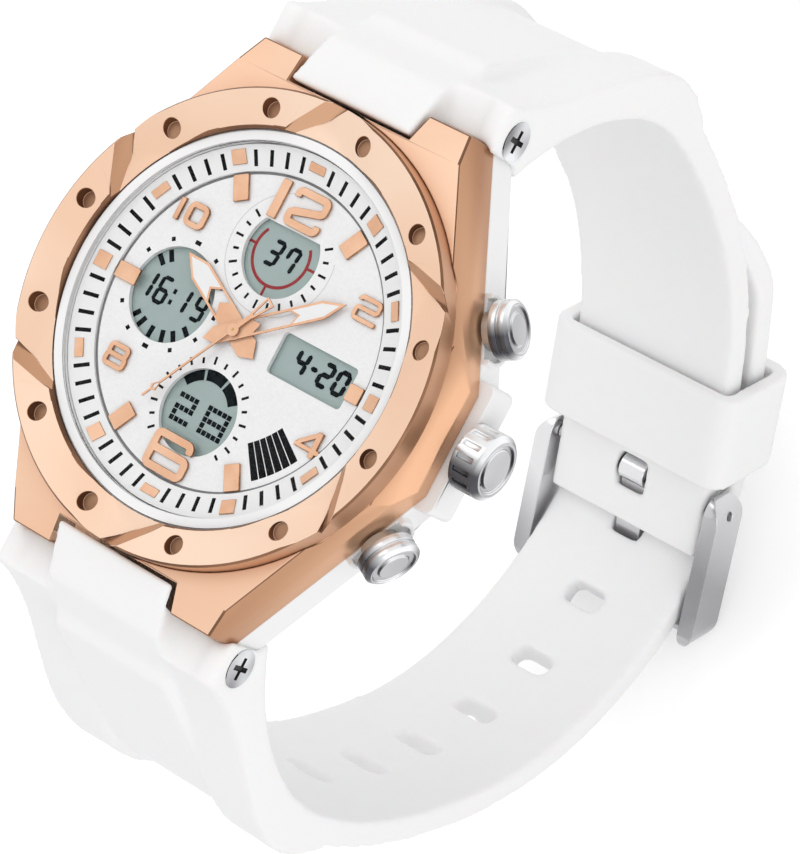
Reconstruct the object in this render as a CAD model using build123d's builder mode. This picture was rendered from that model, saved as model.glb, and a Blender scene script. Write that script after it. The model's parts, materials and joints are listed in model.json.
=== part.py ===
"""Wrist watch with hands and liquid crystal windows.

Millimetres. The origin is the middle of the case back's flat face, on the axis of the hands. +Z leaves the
dial, +Y points to 12 o'clock and +X to 3 o'clock. The strap is closed round an empty wrist.
"""

import math
import os

from build123d import *

os.makedirs("parts", exist_ok=True)

# Case heights, from the flat of the case back upwards
case_height = 14.5
bezel_height = 2.6
cover_height = 4.15
wall_height = 3.85
back_proud = 0.6

# Case plan
bezel_radius = 21.9
horn_overhang = 2.8
horn_reach = bezel_radius + horn_overhang
horn_outer = 12.6
horn_inner = 7.4
horn_root = 7.1
bay_step = 2.7
bay_reach = horn_reach - bay_step
guard_reach = 22.8
guard_half = 4.9
shoulder_x = 20.5
shoulder_y = 8.0
flat_side = 22.0

# Fits shared by many pieces
fit = 0.05
seat_gap = 0.1
soft_gap = 0.3
overrun = 1.0

bezel_foot = case_height - bezel_height
cover_foot = bezel_foot - cover_height
wall_foot = cover_foot - wall_height

# Mid case
bore_radius = 17.2
neck_radius = 18.9
neck_rise = 1.0
barrel_radius = 20.9
barrel_chamfer_share = 0.42
lug_inner = 7.3
lug_outer = 11.0
lug_proud = 3.6
lug_reach = horn_reach + lug_proud
lug_corner = 1.3
apron_proud = 1.2
apron_reach = guard_reach + apron_proud
apron_half = 6.3
apron_corner = 0.8
collar_radius = 3.3
pusher_reach = 25.6
collar_step = 2.3
collar_reach = pusher_reach - collar_step

# Case back
back_thickness = 1.2
back_radius = 19.6
back_chamfer = 0.3
boss_height = 0.7
back_screw_circle = 18.6
back_screw_count = 4
back_screw_head = 0.8
back_screw_head_height = 0.45
back_screw_shank = 0.5
back_screw_length = 3.0
back_screw_start = 45.0
gasket_section = 0.32

# Bezel
bezel_inner = 18.25
bezel_lip = 0.25
bezel_dish = 0.7
bezel_lip_drop = 0.7
bezel_edge = 0.2
bezel_bevel = 0.3
petal_count = 6
petal_step = 0.55
petal_turn = 2.8
crest_inner_angle = -10.7
foot_inner_angle = -6.9
foot_outer_angle = 6.2
pit_circle = 20.0
pit_radius = 0.9
pit_depth = 0.6
pit_count = 12

# Cover
horn_slope_drop = 0.95
horn_top_rise = 0.55
flank_bevel = 1.0
flank_bevel_drop = 1.9
guard_drop = 2.4
guard_run = 2.3

# Crystal and flange
crystal_radius = 17.3
crystal_thickness = 0.8
crystal_bevel = 0.25
crystal_drop = 1.25
crystal_gasket_wall = 0.85
flange_inner = 14.8
flange_outer = 17.1
flange_lip = 0.3

# Module, from the case back upwards
module_radius = 16.5
module_wall = 0.9
cushion_thickness = 0.3
cushion_inner = 12.0
clamp_thickness = 0.2
clamp_length = 24.0
clamp_width = 5.0
battery_radius = 10.0
battery_thickness = 1.6
battery_offset = -4.5
battery_bevel = 0.2
board_thickness = 0.6
bridge_thickness = 0.3
bridge_radius = 9.5
train_room = 2.75
plate_thickness = 0.6
holder_height = 2.3
holder_ledge = 2.5
panel_thickness = 1.0
panel_radius = 14.6
dial_thickness = 0.5
dial_radius = 16.4
layer_gap = 0.05

# Hands and arbors
second_arbor = 0.12
pipe_wall = 0.2
hand_gap = 0.18
hand_thickness = 0.14
hub_radius = 0.9
pivot_radius = 0.12

# Button line, crown and pushers
button_height = 6.9
tube_radius = 0.8
crown_radius = 3.1
crown_length = 3.0
crown_stand = 0.3
crown_flutes = 15
crown_flute_depth = 0.32
crown_flute_width = 0.5
crown_rim = 0.9
crown_bevel = 0.4
crown_bore = 1.35
crown_bore_depth = 1.5
crown_disc = 1.9
crown_dish = 0.25
crown_travel = 1.0
stem_radius = 0.45
neck_share = 0.6
stem_inner_end = 12.6
yoke_place = 14.0
yoke_thickness = 0.3
yoke_width = 2.4
yoke_height = 1.6
pusher_angle = 27.2
pusher_radius = 2.7
pusher_length = 1.85
pusher_face = 0.8
pusher_bore = 2.2
pusher_travel = 0.9
pusher_stem = 0.45
pusher_bevel = 0.3
pusher_groove = 0.2
pusher_disc = 1.5
spring_outer = 1.8
spring_wall = 0.5
clip_radius = 1.0
clip_thickness = 0.2
pusher_inner_end = 16.3

# Strap
strap_tuck = 1.9
strap_start = horn_reach - strap_tuck
strap_heading = 33.0
band_thickness = 3.2
tail_thickness = 3.0
upper_bends = ((27.0, 63.0), (88.0, 15.0), (43.0, 34.5), (0.0, 17.0))
lower_bends = ((32.0, 52.0), (66.0, 33.9), (34.4, 62.6), (13.1, 33.0), (0.0, 3.7), (98.4, 16.0))
band_half_case = 13.5
band_half_wrist = 11.0
band_half_end = 9.9
band_drop = 80.0
outline_drop = 100.0
spine_half = 6.9
block_tuck = 2.4
block_front = horn_reach - block_tuck
block_length = 9.2
block_height = 8.9
ear_inner = 11.2
ear_tuck = 0.6
ear_front = horn_reach - ear_tuck
ear_outer_start = 12.9
ear_height = 5.6
shoulder_height = 4.9
ear_length = 4.7
screw_stand = 1.6
screw_reach = horn_reach + screw_stand
screw_rise = 2.3
screw_shank = 0.8
screw_head = 1.9
screw_head_depth = 0.6
strap_tube_radius = 1.2
pocket_depth = 3.8
pocket_reach = horn_reach + pocket_depth
pocket_drop = 0.2
hole_pitch = 9.5
hole_count = 7
hole_width = 4.5
hole_length = 2.6
hole_corner = 0.8
first_hole = 104.0
tail_end_radius = 10.1

# Buckle and keeper, measured back from the end of the upper strap and outwards from its inner face
bar_back = 6.0
bar_lift = 1.6
bar_radius = 0.9
bar_pivot = 0.45
bar_pivot_depth = 1.6
cross_forward = 8.6
cross_lift = 0.9
cross_radius = 1.1
frame_inner = 10.4
frame_thickness = 2.0
frame_height = 4.8
frame_corner = 3.2
tongue_thickness = 1.3
tongue_width = 3.2
tongue_hub = 1.55
tongue_overhang = 1.7
slot_half = 1.95
slot_room = 2.1
web_thickness = 0.85
nose_share = 0.6
tongue_room = 1.5
keeper_back = 10.0
keeper_length = 11.0
keeper_wall = 1.6
keeper_inner_half = 10.5
keeper_top_room = 8.1
keeper_under_room = 0.6
keeper_corner = 2.4

# Levels that follow from the sizes above
neck_top = bezel_foot + neck_rise
barrel_chamfer = (wall_foot - back_proud) * barrel_chamfer_share
crystal_top = case_height - crystal_drop
crystal_seat = crystal_top - crystal_thickness
boss_top = back_thickness + boss_height
cushion_top = boss_top + layer_gap + cushion_thickness
clamp_foot = cushion_top + layer_gap
battery_foot = clamp_foot + clamp_thickness + layer_gap
board_foot = battery_foot + battery_thickness + layer_gap
board_top = board_foot + board_thickness
bridge_foot = board_top + layer_gap
bridge_top = bridge_foot + bridge_thickness
plate_foot = bridge_top + train_room
plate_top = plate_foot + plate_thickness
holder_top = plate_top + holder_height
panel_foot = holder_top - panel_thickness - layer_gap
dial_foot = holder_top + layer_gap
dial_top = dial_foot + dial_thickness
hour_foot = dial_top + hand_gap
minute_foot = hour_foot + hand_thickness + hand_gap
second_foot = minute_foot + hand_thickness + hand_gap
second_top = second_foot + hand_thickness


def rise(start, height):
    """A sketch plane parallel to the dial, that far above a level."""
    return Plane.XY.offset(start + height)


def case_plan():
    """Plan of the cover and of the white wall, the same on both sides of the X axis."""
    with BuildSketch() as plan:
        with BuildLine():
            Polyline(
                (guard_reach, 0),
                (guard_reach, guard_half),
                (horn_outer, horn_reach),
                (horn_inner, horn_reach),
                (horn_root, bay_reach),
                (-horn_root, bay_reach),
                (-horn_inner, horn_reach),
                (-horn_outer, horn_reach),
                (-shoulder_x, shoulder_y),
            )
            ThreePointArc((-shoulder_x, shoulder_y), (-flat_side, 0), (-shoulder_x, -shoulder_y))
            Polyline(
                (-shoulder_x, -shoulder_y),
                (-horn_outer, -horn_reach),
                (-horn_inner, -horn_reach),
                (-horn_root, -bay_reach),
                (horn_root, -bay_reach),
                (horn_inner, -horn_reach),
                (horn_outer, -horn_reach),
                (guard_reach, -guard_half),
                (guard_reach, 0),
            )
        make_face()
    return plan.sketch


def button_plane(angle, reach):
    """A plane square to a button's axis, at a distance from the axis of the hands."""
    turn = math.radians(angle)
    out = Vector(math.cos(turn), math.sin(turn), 0)
    return Plane(origin=out * reach + Vector(0, 0, button_height), x_dir=(-out.Y, out.X, 0), z_dir=out)


def hand_plane(level, direction):
    """A level whose +Y is turned clockwise from 12 o'clock, for a hand drawn along +Y."""
    turn = math.radians(direction)
    return Plane(origin=(0, 0, level), x_dir=(math.cos(turn), -math.sin(turn), 0), z_dir=(0, 0, 1))


pusher_angles = {"upper": pusher_angle, "lower": -pusher_angle}

# Mid case: white resin, with the neck for the bezel, the barrel for the case back and four lugs
with BuildPart() as mid_case:
    with BuildSketch(rise(wall_foot, 0)):
        add(case_plan())
        with Locations((apron_reach / 2, 0)):
            Rectangle(apron_reach, apron_half * 2)
    extrude(amount=wall_height)
    fillet(mid_case.edges().filter_by(Axis.Z).group_by(Axis.X)[-1], radius=apron_corner)
    with BuildSketch(rise(wall_foot, 0)):
        with GridLocations(lug_inner + lug_outer, 0, 2, 1):
            Rectangle(lug_outer - lug_inner, lug_reach * 2)
    extrude(amount=wall_height - seat_gap)
    lug_ends = mid_case.edges().filter_by(Axis.X).group_by(Axis.Y)
    fillet(lug_ends[0] + lug_ends[-1], radius=lug_corner)
    for angle in pusher_angles.values():
        with BuildSketch(button_plane(angle, bore_radius)):
            Circle(collar_radius)
        extrude(amount=collar_reach - bore_radius)
    with BuildSketch(rise(cover_foot, 0)):
        Circle(barrel_radius + guard_reach)
    extrude(amount=collar_radius + wall_height, mode=Mode.SUBTRACT)
    with BuildSketch(rise(back_proud, 0)):
        Circle(barrel_radius)
    extrude(amount=wall_foot - back_proud)
    chamfer(mid_case.faces().sort_by(Axis.Z)[0].edges().sort_by(SortBy.RADIUS)[-1], length=barrel_chamfer)
    with BuildSketch(rise(cover_foot, 0)):
        Circle(neck_radius)
    extrude(amount=neck_top - cover_foot)
    with BuildSketch(rise(back_proud, 0)):
        Circle(bore_radius)
    extrude(amount=neck_top, mode=Mode.SUBTRACT)
    with BuildSketch(rise(back_proud, 0)):
        Circle(back_radius + seat_gap)
    extrude(amount=back_thickness - back_proud, mode=Mode.SUBTRACT)
    with BuildSketch(rise(back_thickness, 0)):
        Circle(bore_radius + gasket_section * 2)
    extrude(amount=gasket_section * 2 + fit, mode=Mode.SUBTRACT)
    with BuildSketch(rise(crystal_seat, 0)):
        Circle(bezel_inner)
    extrude(amount=neck_top - crystal_seat, mode=Mode.SUBTRACT)
    with BuildSketch(rise(back_thickness, 0)):
        with PolarLocations(back_screw_circle, back_screw_count, start_angle=back_screw_start):
            Circle(back_screw_shank)
    extrude(amount=back_screw_length - back_thickness + fit, mode=Mode.SUBTRACT)
    for angle in (0, *pusher_angles.values()):
        with BuildSketch(button_plane(angle, module_radius)):
            Circle(tube_radius)
        extrude(amount=guard_reach, mode=Mode.SUBTRACT)
    for angle in pusher_angles.values():
        with BuildSketch(button_plane(angle, pusher_reach - pusher_length - pusher_travel - seat_gap)):
            Circle(pusher_radius + seat_gap)
        extrude(amount=guard_reach, mode=Mode.SUBTRACT)
    with BuildSketch(Plane.YZ.offset(-lug_outer - overrun)):
        with Locations((screw_reach, wall_foot + screw_rise), (-screw_reach, wall_foot + screw_rise)):
            Circle(screw_shank + fit)
    extrude(amount=(lug_outer + overrun) * 2, mode=Mode.SUBTRACT)
mid_case.part.label = "mid_case"
export_step(mid_case.part, "parts/mid_case.step")

# Case cover: rose gold shell on the white wall, with four horns and the crown guard
with BuildPart() as flank_wedge:
    flank_way = Vector(guard_reach - horn_outer, guard_half - horn_reach, 0)
    flank_out = Vector(-flank_way.Y, flank_way.X, 0).normalized()
    horn_top = bezel_foot + horn_top_rise
    with BuildSketch(
        Plane(
            origin=Vector(horn_outer, horn_reach, horn_top) - flank_way,
            x_dir=flank_out,
            z_dir=flank_out.cross(Vector(0, 0, 1)),
        )
    ):
        Polygon(
            (-flank_bevel * 2, flank_bevel_drop),
            (flank_bevel, -flank_bevel_drop * 2),
            (flank_bevel, flank_bevel_drop),
            align=None,
        )
    extrude(amount=flank_way.length * 2 + horn_reach)

with BuildPart() as horn_wedge:
    with BuildSketch(Plane.YZ.offset(-guard_reach)):
        Polygon(
            (bezel_radius, horn_top),
            (horn_reach, horn_top - horn_slope_drop),
            (horn_reach + overrun, horn_top - horn_slope_drop),
            (horn_reach + overrun, horn_top + overrun),
            (bezel_radius, horn_top + overrun),
            align=None,
        )
    extrude(amount=guard_reach * 2)

with BuildPart() as case_cover:
    with BuildSketch(rise(cover_foot, 0)):
        add(case_plan())
        Circle(neck_radius + seat_gap, mode=Mode.SUBTRACT)
    extrude(amount=cover_height + horn_top_rise)
    with BuildSketch(rise(bezel_foot, 0)):
        Circle(bezel_radius + fit)
    extrude(amount=horn_top_rise + overrun, mode=Mode.SUBTRACT)
    for angle in pusher_angles.values():
        with BuildSketch(button_plane(angle, pusher_reach - pusher_length - pusher_travel - seat_gap)):
            Circle(pusher_radius + seat_gap)
        extrude(amount=guard_reach, mode=Mode.SUBTRACT)
    for wedge in (flank_wedge.part, horn_wedge.part):
        for turned in (wedge, wedge.mirror(Plane.YZ)):
            add(turned, mode=Mode.SUBTRACT)
            add(turned.mirror(Plane.XZ), mode=Mode.SUBTRACT)
    with BuildSketch(Plane.XZ.offset(-horn_reach)):
        Polygon(
            (guard_reach, bezel_foot - guard_drop),
            (guard_reach - guard_run, bezel_foot),
            (guard_reach - guard_run, horn_top + overrun),
            (guard_reach + overrun, horn_top + overrun),
            (guard_reach + overrun, bezel_foot - guard_drop),
            align=None,
        )
    extrude(amount=horn_reach * 2, mode=Mode.SUBTRACT)
case_cover.part.label = "case_cover"
export_step(case_cover.part, "parts/case_cover.step")

# Bezel: one turned ring, milled into petals, each rising clockwise to a crest above the next one
bezel_lip_z = case_height - bezel_lip_drop
bezel_rim = bezel_radius - bezel_edge
crest_inner = bezel_inner + bezel_lip


def clockwise(radius, angle, height):
    """A point at a radius and a height, its angle clockwise from 12 o'clock."""
    turn = math.radians(angle)
    return Vector(radius * math.sin(turn), radius * math.cos(turn), height)


petal_pitch = 360 / petal_count
crest_start = clockwise(crest_inner, crest_inner_angle, bezel_lip_z)
crest_end = clockwise(bezel_rim, 0, case_height)
foot_start = clockwise(crest_inner, foot_inner_angle, bezel_lip_z - petal_step)
foot_end = clockwise(bezel_rim, foot_outer_angle, case_height - petal_step)
next_start = clockwise(crest_inner, crest_inner_angle + petal_pitch, bezel_lip_z)
next_end = clockwise(bezel_rim, petal_pitch, case_height)
slope_plane = Plane(
    origin=crest_start,
    x_dir=crest_end - crest_start,
    z_dir=(crest_end - crest_start).cross(crest_start - foot_start),
)
petal_plane = Plane(
    origin=next_start,
    x_dir=next_end - next_start,
    z_dir=(next_end - next_start).cross(foot_end - next_start),
)


def petal_tool(first_inner, first_outer, last_inner, last_outer, plane):
    """What the mill takes away between two lines across the ring, above a tilted plane."""
    reach = 1 + 1 / petal_count
    with BuildPart() as tool:
        with BuildSketch(rise(bezel_foot, bezel_height / 2)):
            inner = bezel_inner - overrun
            corners = []
            corners.append(clockwise(inner, first_inner - (first_outer - first_inner) / 3, 0))
            corners.append(clockwise(bezel_radius * reach, first_outer + (first_outer - first_inner) / 2, 0))
            middle = (first_outer + last_outer) / 2
            corners.append(clockwise(bezel_radius * reach, middle, 0))
            corners.append(clockwise(bezel_radius * reach, last_outer + (last_outer - last_inner) / 2, 0))
            corners.append(clockwise(inner, last_inner - (last_outer - last_inner) / 3, 0))
            corners.append(clockwise(inner, (first_inner + last_inner) / 2, 0))
            Polygon(*[(c.X, c.Y) for c in corners], align=None)
        extrude(amount=bezel_height)
        split(bisect_by=plane if plane.z_dir.Z > 0 else -plane, keep=Keep.TOP)
    return tool.part


slope_tool = petal_tool(crest_inner_angle, 0, foot_inner_angle, foot_outer_angle, slope_plane)
next_inner_angle = crest_inner_angle + petal_pitch
rise_tool = petal_tool(foot_inner_angle, foot_outer_angle, next_inner_angle, petal_pitch, petal_plane)

with BuildPart() as bezel:
    with BuildSketch(Plane.XZ):
        with BuildLine():
            Polyline(
                (neck_radius + fit, bezel_foot),
                (bezel_radius, bezel_foot),
                (bezel_radius, case_height - bezel_edge),
                (bezel_rim, case_height),
                (crest_inner, bezel_lip_z),
                (bezel_inner + fit, bezel_lip_z - bezel_bevel),
                (bezel_inner + fit, neck_top + fit),
                (neck_radius + fit, neck_top + fit),
                close=True,
            )
        make_face()
    revolve(axis=Axis.Z)
    for tool in (slope_tool, rise_tool):
        with PolarLocations(0, petal_count, start_angle=petal_turn):
            add(tool, mode=Mode.SUBTRACT)
    with BuildSketch(rise(case_height, -bezel_dish - pit_depth)):
        with PolarLocations(pit_circle, pit_count, start_angle=90 - 180 / pit_count + petal_turn):
            Circle(pit_radius)
    extrude(amount=bezel_height, mode=Mode.SUBTRACT)
bezel.part.label = "bezel"
export_step(bezel.part, "parts/bezel.step")

# Crystal: mineral glass with a bevelled edge, pressed into its gasket
with BuildPart() as crystal:
    with BuildSketch(rise(crystal_seat, 0)):
        Circle(crystal_radius)
    extrude(amount=crystal_thickness)
    chamfer(crystal.edges().group_by(Axis.Z)[-1], length=crystal_bevel)
crystal.part.label = "crystal"
export_step(crystal.part, "parts/crystal.step")

with BuildPart() as crystal_gasket:
    with BuildSketch(rise(crystal_seat, 0)):
        Circle(crystal_radius + crystal_gasket_wall)
        Circle(crystal_radius, mode=Mode.SUBTRACT)
    extrude(amount=crystal_thickness - seat_gap)
crystal_gasket.part.label = "crystal_gasket"
export_step(crystal_gasket.part, "parts/crystal_gasket.step")

# Flange ring: white cone between dial and crystal
with BuildPart() as flange_ring:
    with BuildSketch(Plane.XZ):
        with BuildLine():
            Polyline(
                (flange_inner, dial_top),
                (flange_outer, dial_top),
                (flange_outer, crystal_seat - fit),
                (flange_inner, dial_top + flange_lip),
                close=True,
            )
        make_face()
    revolve(axis=Axis.Z)
flange_ring.part.label = "flange_ring"
export_step(flange_ring.part, "parts/flange_ring.step")

# Hour markers glued on the flange, one wider at each even hour
flange_slope = (crystal_seat - fit - dial_top - flange_lip) / (flange_outer - flange_inner)
hour_step = 30.0
marker_middle = 16.1
marker_even = (1.8, 0.85)
marker_odd = (1.5, 1.4)
marker_height = 0.1
marker_seat = 0.01


def flange_plane(angle):
    """The sloping face of the flange under a marker; +Y points outwards."""
    turn = math.radians(angle)
    slope = math.atan(flange_slope)
    out = Vector(math.sin(turn) * math.cos(slope), math.cos(turn) * math.cos(slope), math.sin(slope))
    side = Vector(math.cos(turn), -math.sin(turn), 0)
    level = dial_top + flange_lip + (marker_middle - flange_inner) * flange_slope
    face = Plane(origin=clockwise(marker_middle, angle, level), x_dir=side, z_dir=side.cross(out))
    sag = marker_even[0] ** 2 / (8 * marker_middle) * math.sin(slope)
    return face.offset(marker_seat + sag)


with BuildPart() as flange_markers:
    for hour in range(12):
        wide, tall = marker_odd if hour % 2 else marker_even
        with BuildSketch(flange_plane(hour * hour_step)):
            Rectangle(wide, tall)
        extrude(amount=marker_height)
flange_markers.part.label = "flange_markers"
export_step(flange_markers.part, "parts/flange_markers.step")

# Dial plate with its four windows
upper_window = (0.25, 7.8)
upper_window_radius = 4.0
upper_window_flat = 10.25
left_window = (-8.15, 0.15)
left_window_radius = 4.5
lower_window = (0.2, -8.0)
lower_window_radius = 4.05
date_window = (8.75, 0.1)
date_window_size = (8.6, 4.0)
date_window_corner = 0.4
dial_hole = 0.85

with BuildPart() as dial_plate:
    with BuildSketch(rise(dial_foot, 0)):
        Circle(dial_radius)
        Circle(dial_hole, mode=Mode.SUBTRACT)
        with BuildSketch(mode=Mode.PRIVATE) as cut_window:
            with Locations(upper_window):
                Circle(upper_window_radius)
            with Locations((upper_window[0], upper_window_flat + upper_window_radius)):
                Rectangle(upper_window_radius * 2, upper_window_radius * 2, mode=Mode.SUBTRACT)
        add(cut_window.sketch, mode=Mode.SUBTRACT)
        with Locations(left_window):
            Circle(left_window_radius, mode=Mode.SUBTRACT)
        with Locations(lower_window):
            Circle(lower_window_radius, mode=Mode.SUBTRACT)
        with Locations(date_window):
            RectangleRounded(*date_window_size, date_window_corner, mode=Mode.SUBTRACT)
    extrude(amount=dial_thickness)
dial_plate.part.label = "dial_plate"
export_step(dial_plate.part, "parts/dial_plate.step")

# Applied numerals at the even hours, each a run of strokes with rounded corners, and blocks at the odd
# hours; a stroke is its width, its corner radius, whether it closes, and the corners of its middle line
numeral_height = 0.35
numeral_strokes = (
    (1.0, 0, False, ((-2.49, 10.4), (-2.49, 14.15))),
    (0.75, 0.4, False, (
        (-0.87, 13.15), (-0.87, 13.82), (2.47, 13.82), (2.47, 12.6),
        (-0.87, 11.75), (-0.87, 10.8), (2.47, 10.8), (2.47, 11.5),
    )),
    (0.46, 0.3, False, (
        (9.93, 7.6), (9.93, 7.97), (12.17, 7.97), (12.17, 7.02), (9.93, 7.02), (9.93, 6.01), (12.45, 6.01),
    )),
    (0.6, 0, False, ((12.8, -4.3), (12.8, -6.75))),
    (0.45, 0, False, ((10.7, -6.12), (13.5, -6.12))),
    (0.45, 0, False, ((12.75, -4.52), (10.95, -5.97))),
    (0.78, 0.45, False, (
        (1.55, -11.8), (1.55, -11.0), (-2.3, -11.0), (-2.3, -14.1),
        (1.75, -14.1), (1.75, -12.47), (-2.3, -12.47),
    )),
    (0.5, 0.3, True, ((-11.2, -6.13), (-9.25, -6.13), (-9.25, -7.05), (-11.2, -7.05))),
    (0.5, 0.3, True, ((-11.25, -7.05), (-9.15, -7.05), (-9.15, -8.02), (-11.25, -8.02))),
    (0.55, 0, False, ((-11.55, 6.3), (-11.55, 8.5))),
    (0.58, 0.45, True, ((-10.46, 8.36), (-8.64, 8.36), (-8.64, 6.54), (-10.46, 6.54))),
)


def middle_line(corner, closed, points):
    """The middle line of a stroke, with its corners rounded where it has a corner radius."""
    with BuildLine() as line:
        if corner:
            FilletPolyline(*points, radius=corner, close=closed)
        else:
            Polyline(*points)
    return line.edges()


with BuildPart() as hour_numerals:
    with BuildSketch(rise(dial_top, 0)):
        for width, corner, closed, points in numeral_strokes:
            trace(middle_line(corner, closed, points), line_width=width)
    extrude(amount=numeral_height)
hour_numerals.part.label = "hour_numerals"
export_step(hour_numerals.part, "parts/hour_numerals.step")

block_middle = 13.35
block_size = (1.6, 2.5)
with BuildPart() as hour_blocks:
    with BuildSketch(rise(dial_top, 0)):
        for hour in (1, 3, 5, 7, 9, 11):
            spot = clockwise(block_middle, hour * hour_step, 0)
            with Locations(Location((spot.X, spot.Y, 0), (0, 0, 1), -hour * hour_step)):
                Rectangle(*block_size)
        with Locations(date_window):
            Rectangle(*date_window_size, mode=Mode.SUBTRACT)
    extrude(amount=numeral_height)
hour_blocks.part.label = "hour_blocks"
export_step(hour_blocks.part, "parts/hour_blocks.step")

# Liquid crystal panel, its holder and the two rubber connectors
second_bore = second_arbor + fit
minute_pipe = second_bore + pipe_wall
minute_bore = minute_pipe + fit
hour_pipe = minute_bore + pipe_wall
centre_hole = hour_pipe + seat_gap
with BuildPart() as lcd_panel:
    with BuildSketch(rise(panel_foot, 0)):
        Circle(panel_radius)
        Circle(centre_hole, mode=Mode.SUBTRACT)
    extrude(amount=panel_thickness)
lcd_panel.part.label = "lcd_panel"
export_step(lcd_panel.part, "parts/lcd_panel.step")

with BuildPart() as lcd_holder:
    with BuildSketch(rise(plate_top, 0)):
        Circle(module_radius - module_wall - fit)
        Circle(panel_radius - holder_ledge, mode=Mode.SUBTRACT)
    extrude(amount=holder_height)
    with BuildSketch(rise(panel_foot, 0)):
        Circle(panel_radius + fit)
    extrude(amount=holder_height, mode=Mode.SUBTRACT)
lcd_holder.part.label = "lcd_holder"
export_step(lcd_holder.part, "parts/lcd_holder.step")

connector_width = 10.0
connector_depth = 1.3
connector_place = 10.3
with BuildPart() as rubber_connectors:
    with BuildSketch(rise(board_top, 0)):
        with GridLocations(0, connector_place * 2, 1, 2):
            Rectangle(connector_width, connector_depth)
    extrude(amount=panel_foot - board_top)
rubber_connectors.part.label = "rubber_connectors"
export_step(rubber_connectors.part, "parts/rubber_connectors.step")

# Module frame: white plastic ring and floor that hold everything under the dial
button_room = 1.3
with BuildPart() as module_frame:
    with BuildSketch(rise(cushion_top, layer_gap)):
        Circle(module_radius)
    extrude(amount=holder_top - cushion_top - layer_gap)
    with BuildSketch(rise(board_foot, -layer_gap)):
        Circle(module_radius - module_wall)
    extrude(amount=holder_top, mode=Mode.SUBTRACT)
    with BuildSketch(rise(battery_foot, 0)):
        with Locations((0, battery_offset)):
            Circle(battery_radius + fit)
    extrude(amount=battery_thickness + layer_gap, mode=Mode.SUBTRACT)
    with BuildSketch(rise(clamp_foot, 0)):
        with Locations((0, battery_offset)):
            Rectangle(clamp_length + fit, clamp_width + fit)
    extrude(amount=battery_foot - clamp_foot + fit, mode=Mode.SUBTRACT)
    for angle in (0, *pusher_angles.values()):
        with BuildSketch(button_plane(angle, module_radius - module_wall * 2)):
            Rectangle(button_room * 2, button_room * 2)
        extrude(amount=module_wall * 2 + overrun, mode=Mode.SUBTRACT)
module_frame.part.label = "module_frame"
export_step(module_frame.part, "parts/module_frame.step")

with BuildPart() as battery:
    with BuildSketch(rise(battery_foot, 0)):
        with Locations((0, battery_offset)):
            Circle(battery_radius)
    extrude(amount=battery_thickness)
    chamfer(battery.edges(), length=battery_bevel)
battery.part.label = "battery"
export_step(battery.part, "parts/battery.step")

with BuildPart() as battery_clamp:
    with BuildSketch(rise(clamp_foot, 0)):
        with Locations((0, battery_offset)):
            Rectangle(clamp_length, clamp_width)
            SlotOverall(clamp_length / 2, clamp_width / 4, mode=Mode.SUBTRACT)
    extrude(amount=clamp_thickness)
battery_clamp.part.label = "battery_clamp"
export_step(battery_clamp.part, "parts/battery_clamp.step")

with BuildPart() as back_cushion:
    with BuildSketch(rise(boss_top, layer_gap)):
        Circle(module_radius - module_wall)
        Circle(cushion_inner, mode=Mode.SUBTRACT)
    extrude(amount=cushion_thickness)
back_cushion.part.label = "back_cushion"
export_step(back_cushion.part, "parts/back_cushion.step")

with BuildPart() as circuit_board:
    with BuildSketch(rise(board_foot, 0)):
        Circle(module_radius - module_wall - fit)
    extrude(amount=board_thickness)
circuit_board.part.label = "circuit_board"
export_step(circuit_board.part, "parts/circuit_board.step")

contact_place = 15.05
contact_thickness = 0.2
with BuildPart() as button_contacts:
    for angle in pusher_angles.values():
        foot = button_plane(angle, contact_place)
        foot_point = (foot.origin.X, foot.origin.Y, board_top)
        with BuildSketch(Plane(origin=foot_point, x_dir=foot.x_dir, z_dir=(0, 0, 1))):
            Rectangle(button_room, contact_thickness)
        extrude(amount=button_height + pusher_stem - board_top)
button_contacts.part.label = "button_contacts"
export_step(button_contacts.part, "parts/button_contacts.step")

# Hand train. Each wheel turns between the train bridge and the main plate; rims stand just clear of pinions.
wheel_thickness = 0.16
pinion_thickness = 0.3
mesh_gap = 0.06
tooth_depth = 0.15
second_wheel_radius = 2.6
second_pinion_radius = 0.42
centre_wheel_radius = 3.2
cannon_radius = 0.78
third_pinion_radius = 0.4
hour_wheel_radius = 2.5
motion_pinion_radius = 0.62
motion_wheel_radius = 2.34
intermediate_wheel_radius = 2.2
intermediate_pinion_radius = 0.52
rotor_pinion_radius = 0.37
rotor_radius = 0.75
rotor_length = 0.9
level_shares = {"rotor_pinion": 0.03, "second_wheel": 0.16, "third_wheel": 0.29, "third_pinion": 0.42,
                "cannon": 0.58, "motion_pinion": 0.74}
train_levels = {name: bridge_top + train_room * share for name, share in level_shares.items()}
third_distance = centre_wheel_radius + third_pinion_radius + mesh_gap
third_wheel_radius = third_distance - second_pinion_radius - mesh_gap
motion_distance = hour_wheel_radius + motion_pinion_radius + mesh_gap
intermediate_distance = second_wheel_radius + intermediate_pinion_radius + mesh_gap
rotor_distance = intermediate_wheel_radius + rotor_pinion_radius + mesh_gap
third_direction = 250.0
motion_direction = 150.0
intermediate_direction = 350.0
rotor_direction = 300.0
third_place = clockwise(third_distance, third_direction, 0)
motion_place = clockwise(motion_distance, motion_direction, 0)
intermediate_place = clockwise(intermediate_distance, intermediate_direction, 0)
rotor_place = intermediate_place + clockwise(rotor_distance, rotor_direction, 0)
train_teeth = 30
second_teeth = 36
centre_teeth = 40


def wheel_face(place, radius, teeth):
    """A toothed disc."""
    with Locations((place.X, place.Y)):
        Circle(radius)
        with PolarLocations(radius, teeth):
            Rectangle(tooth_depth * 2, math.pi * radius / teeth, mode=Mode.SUBTRACT)


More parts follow.
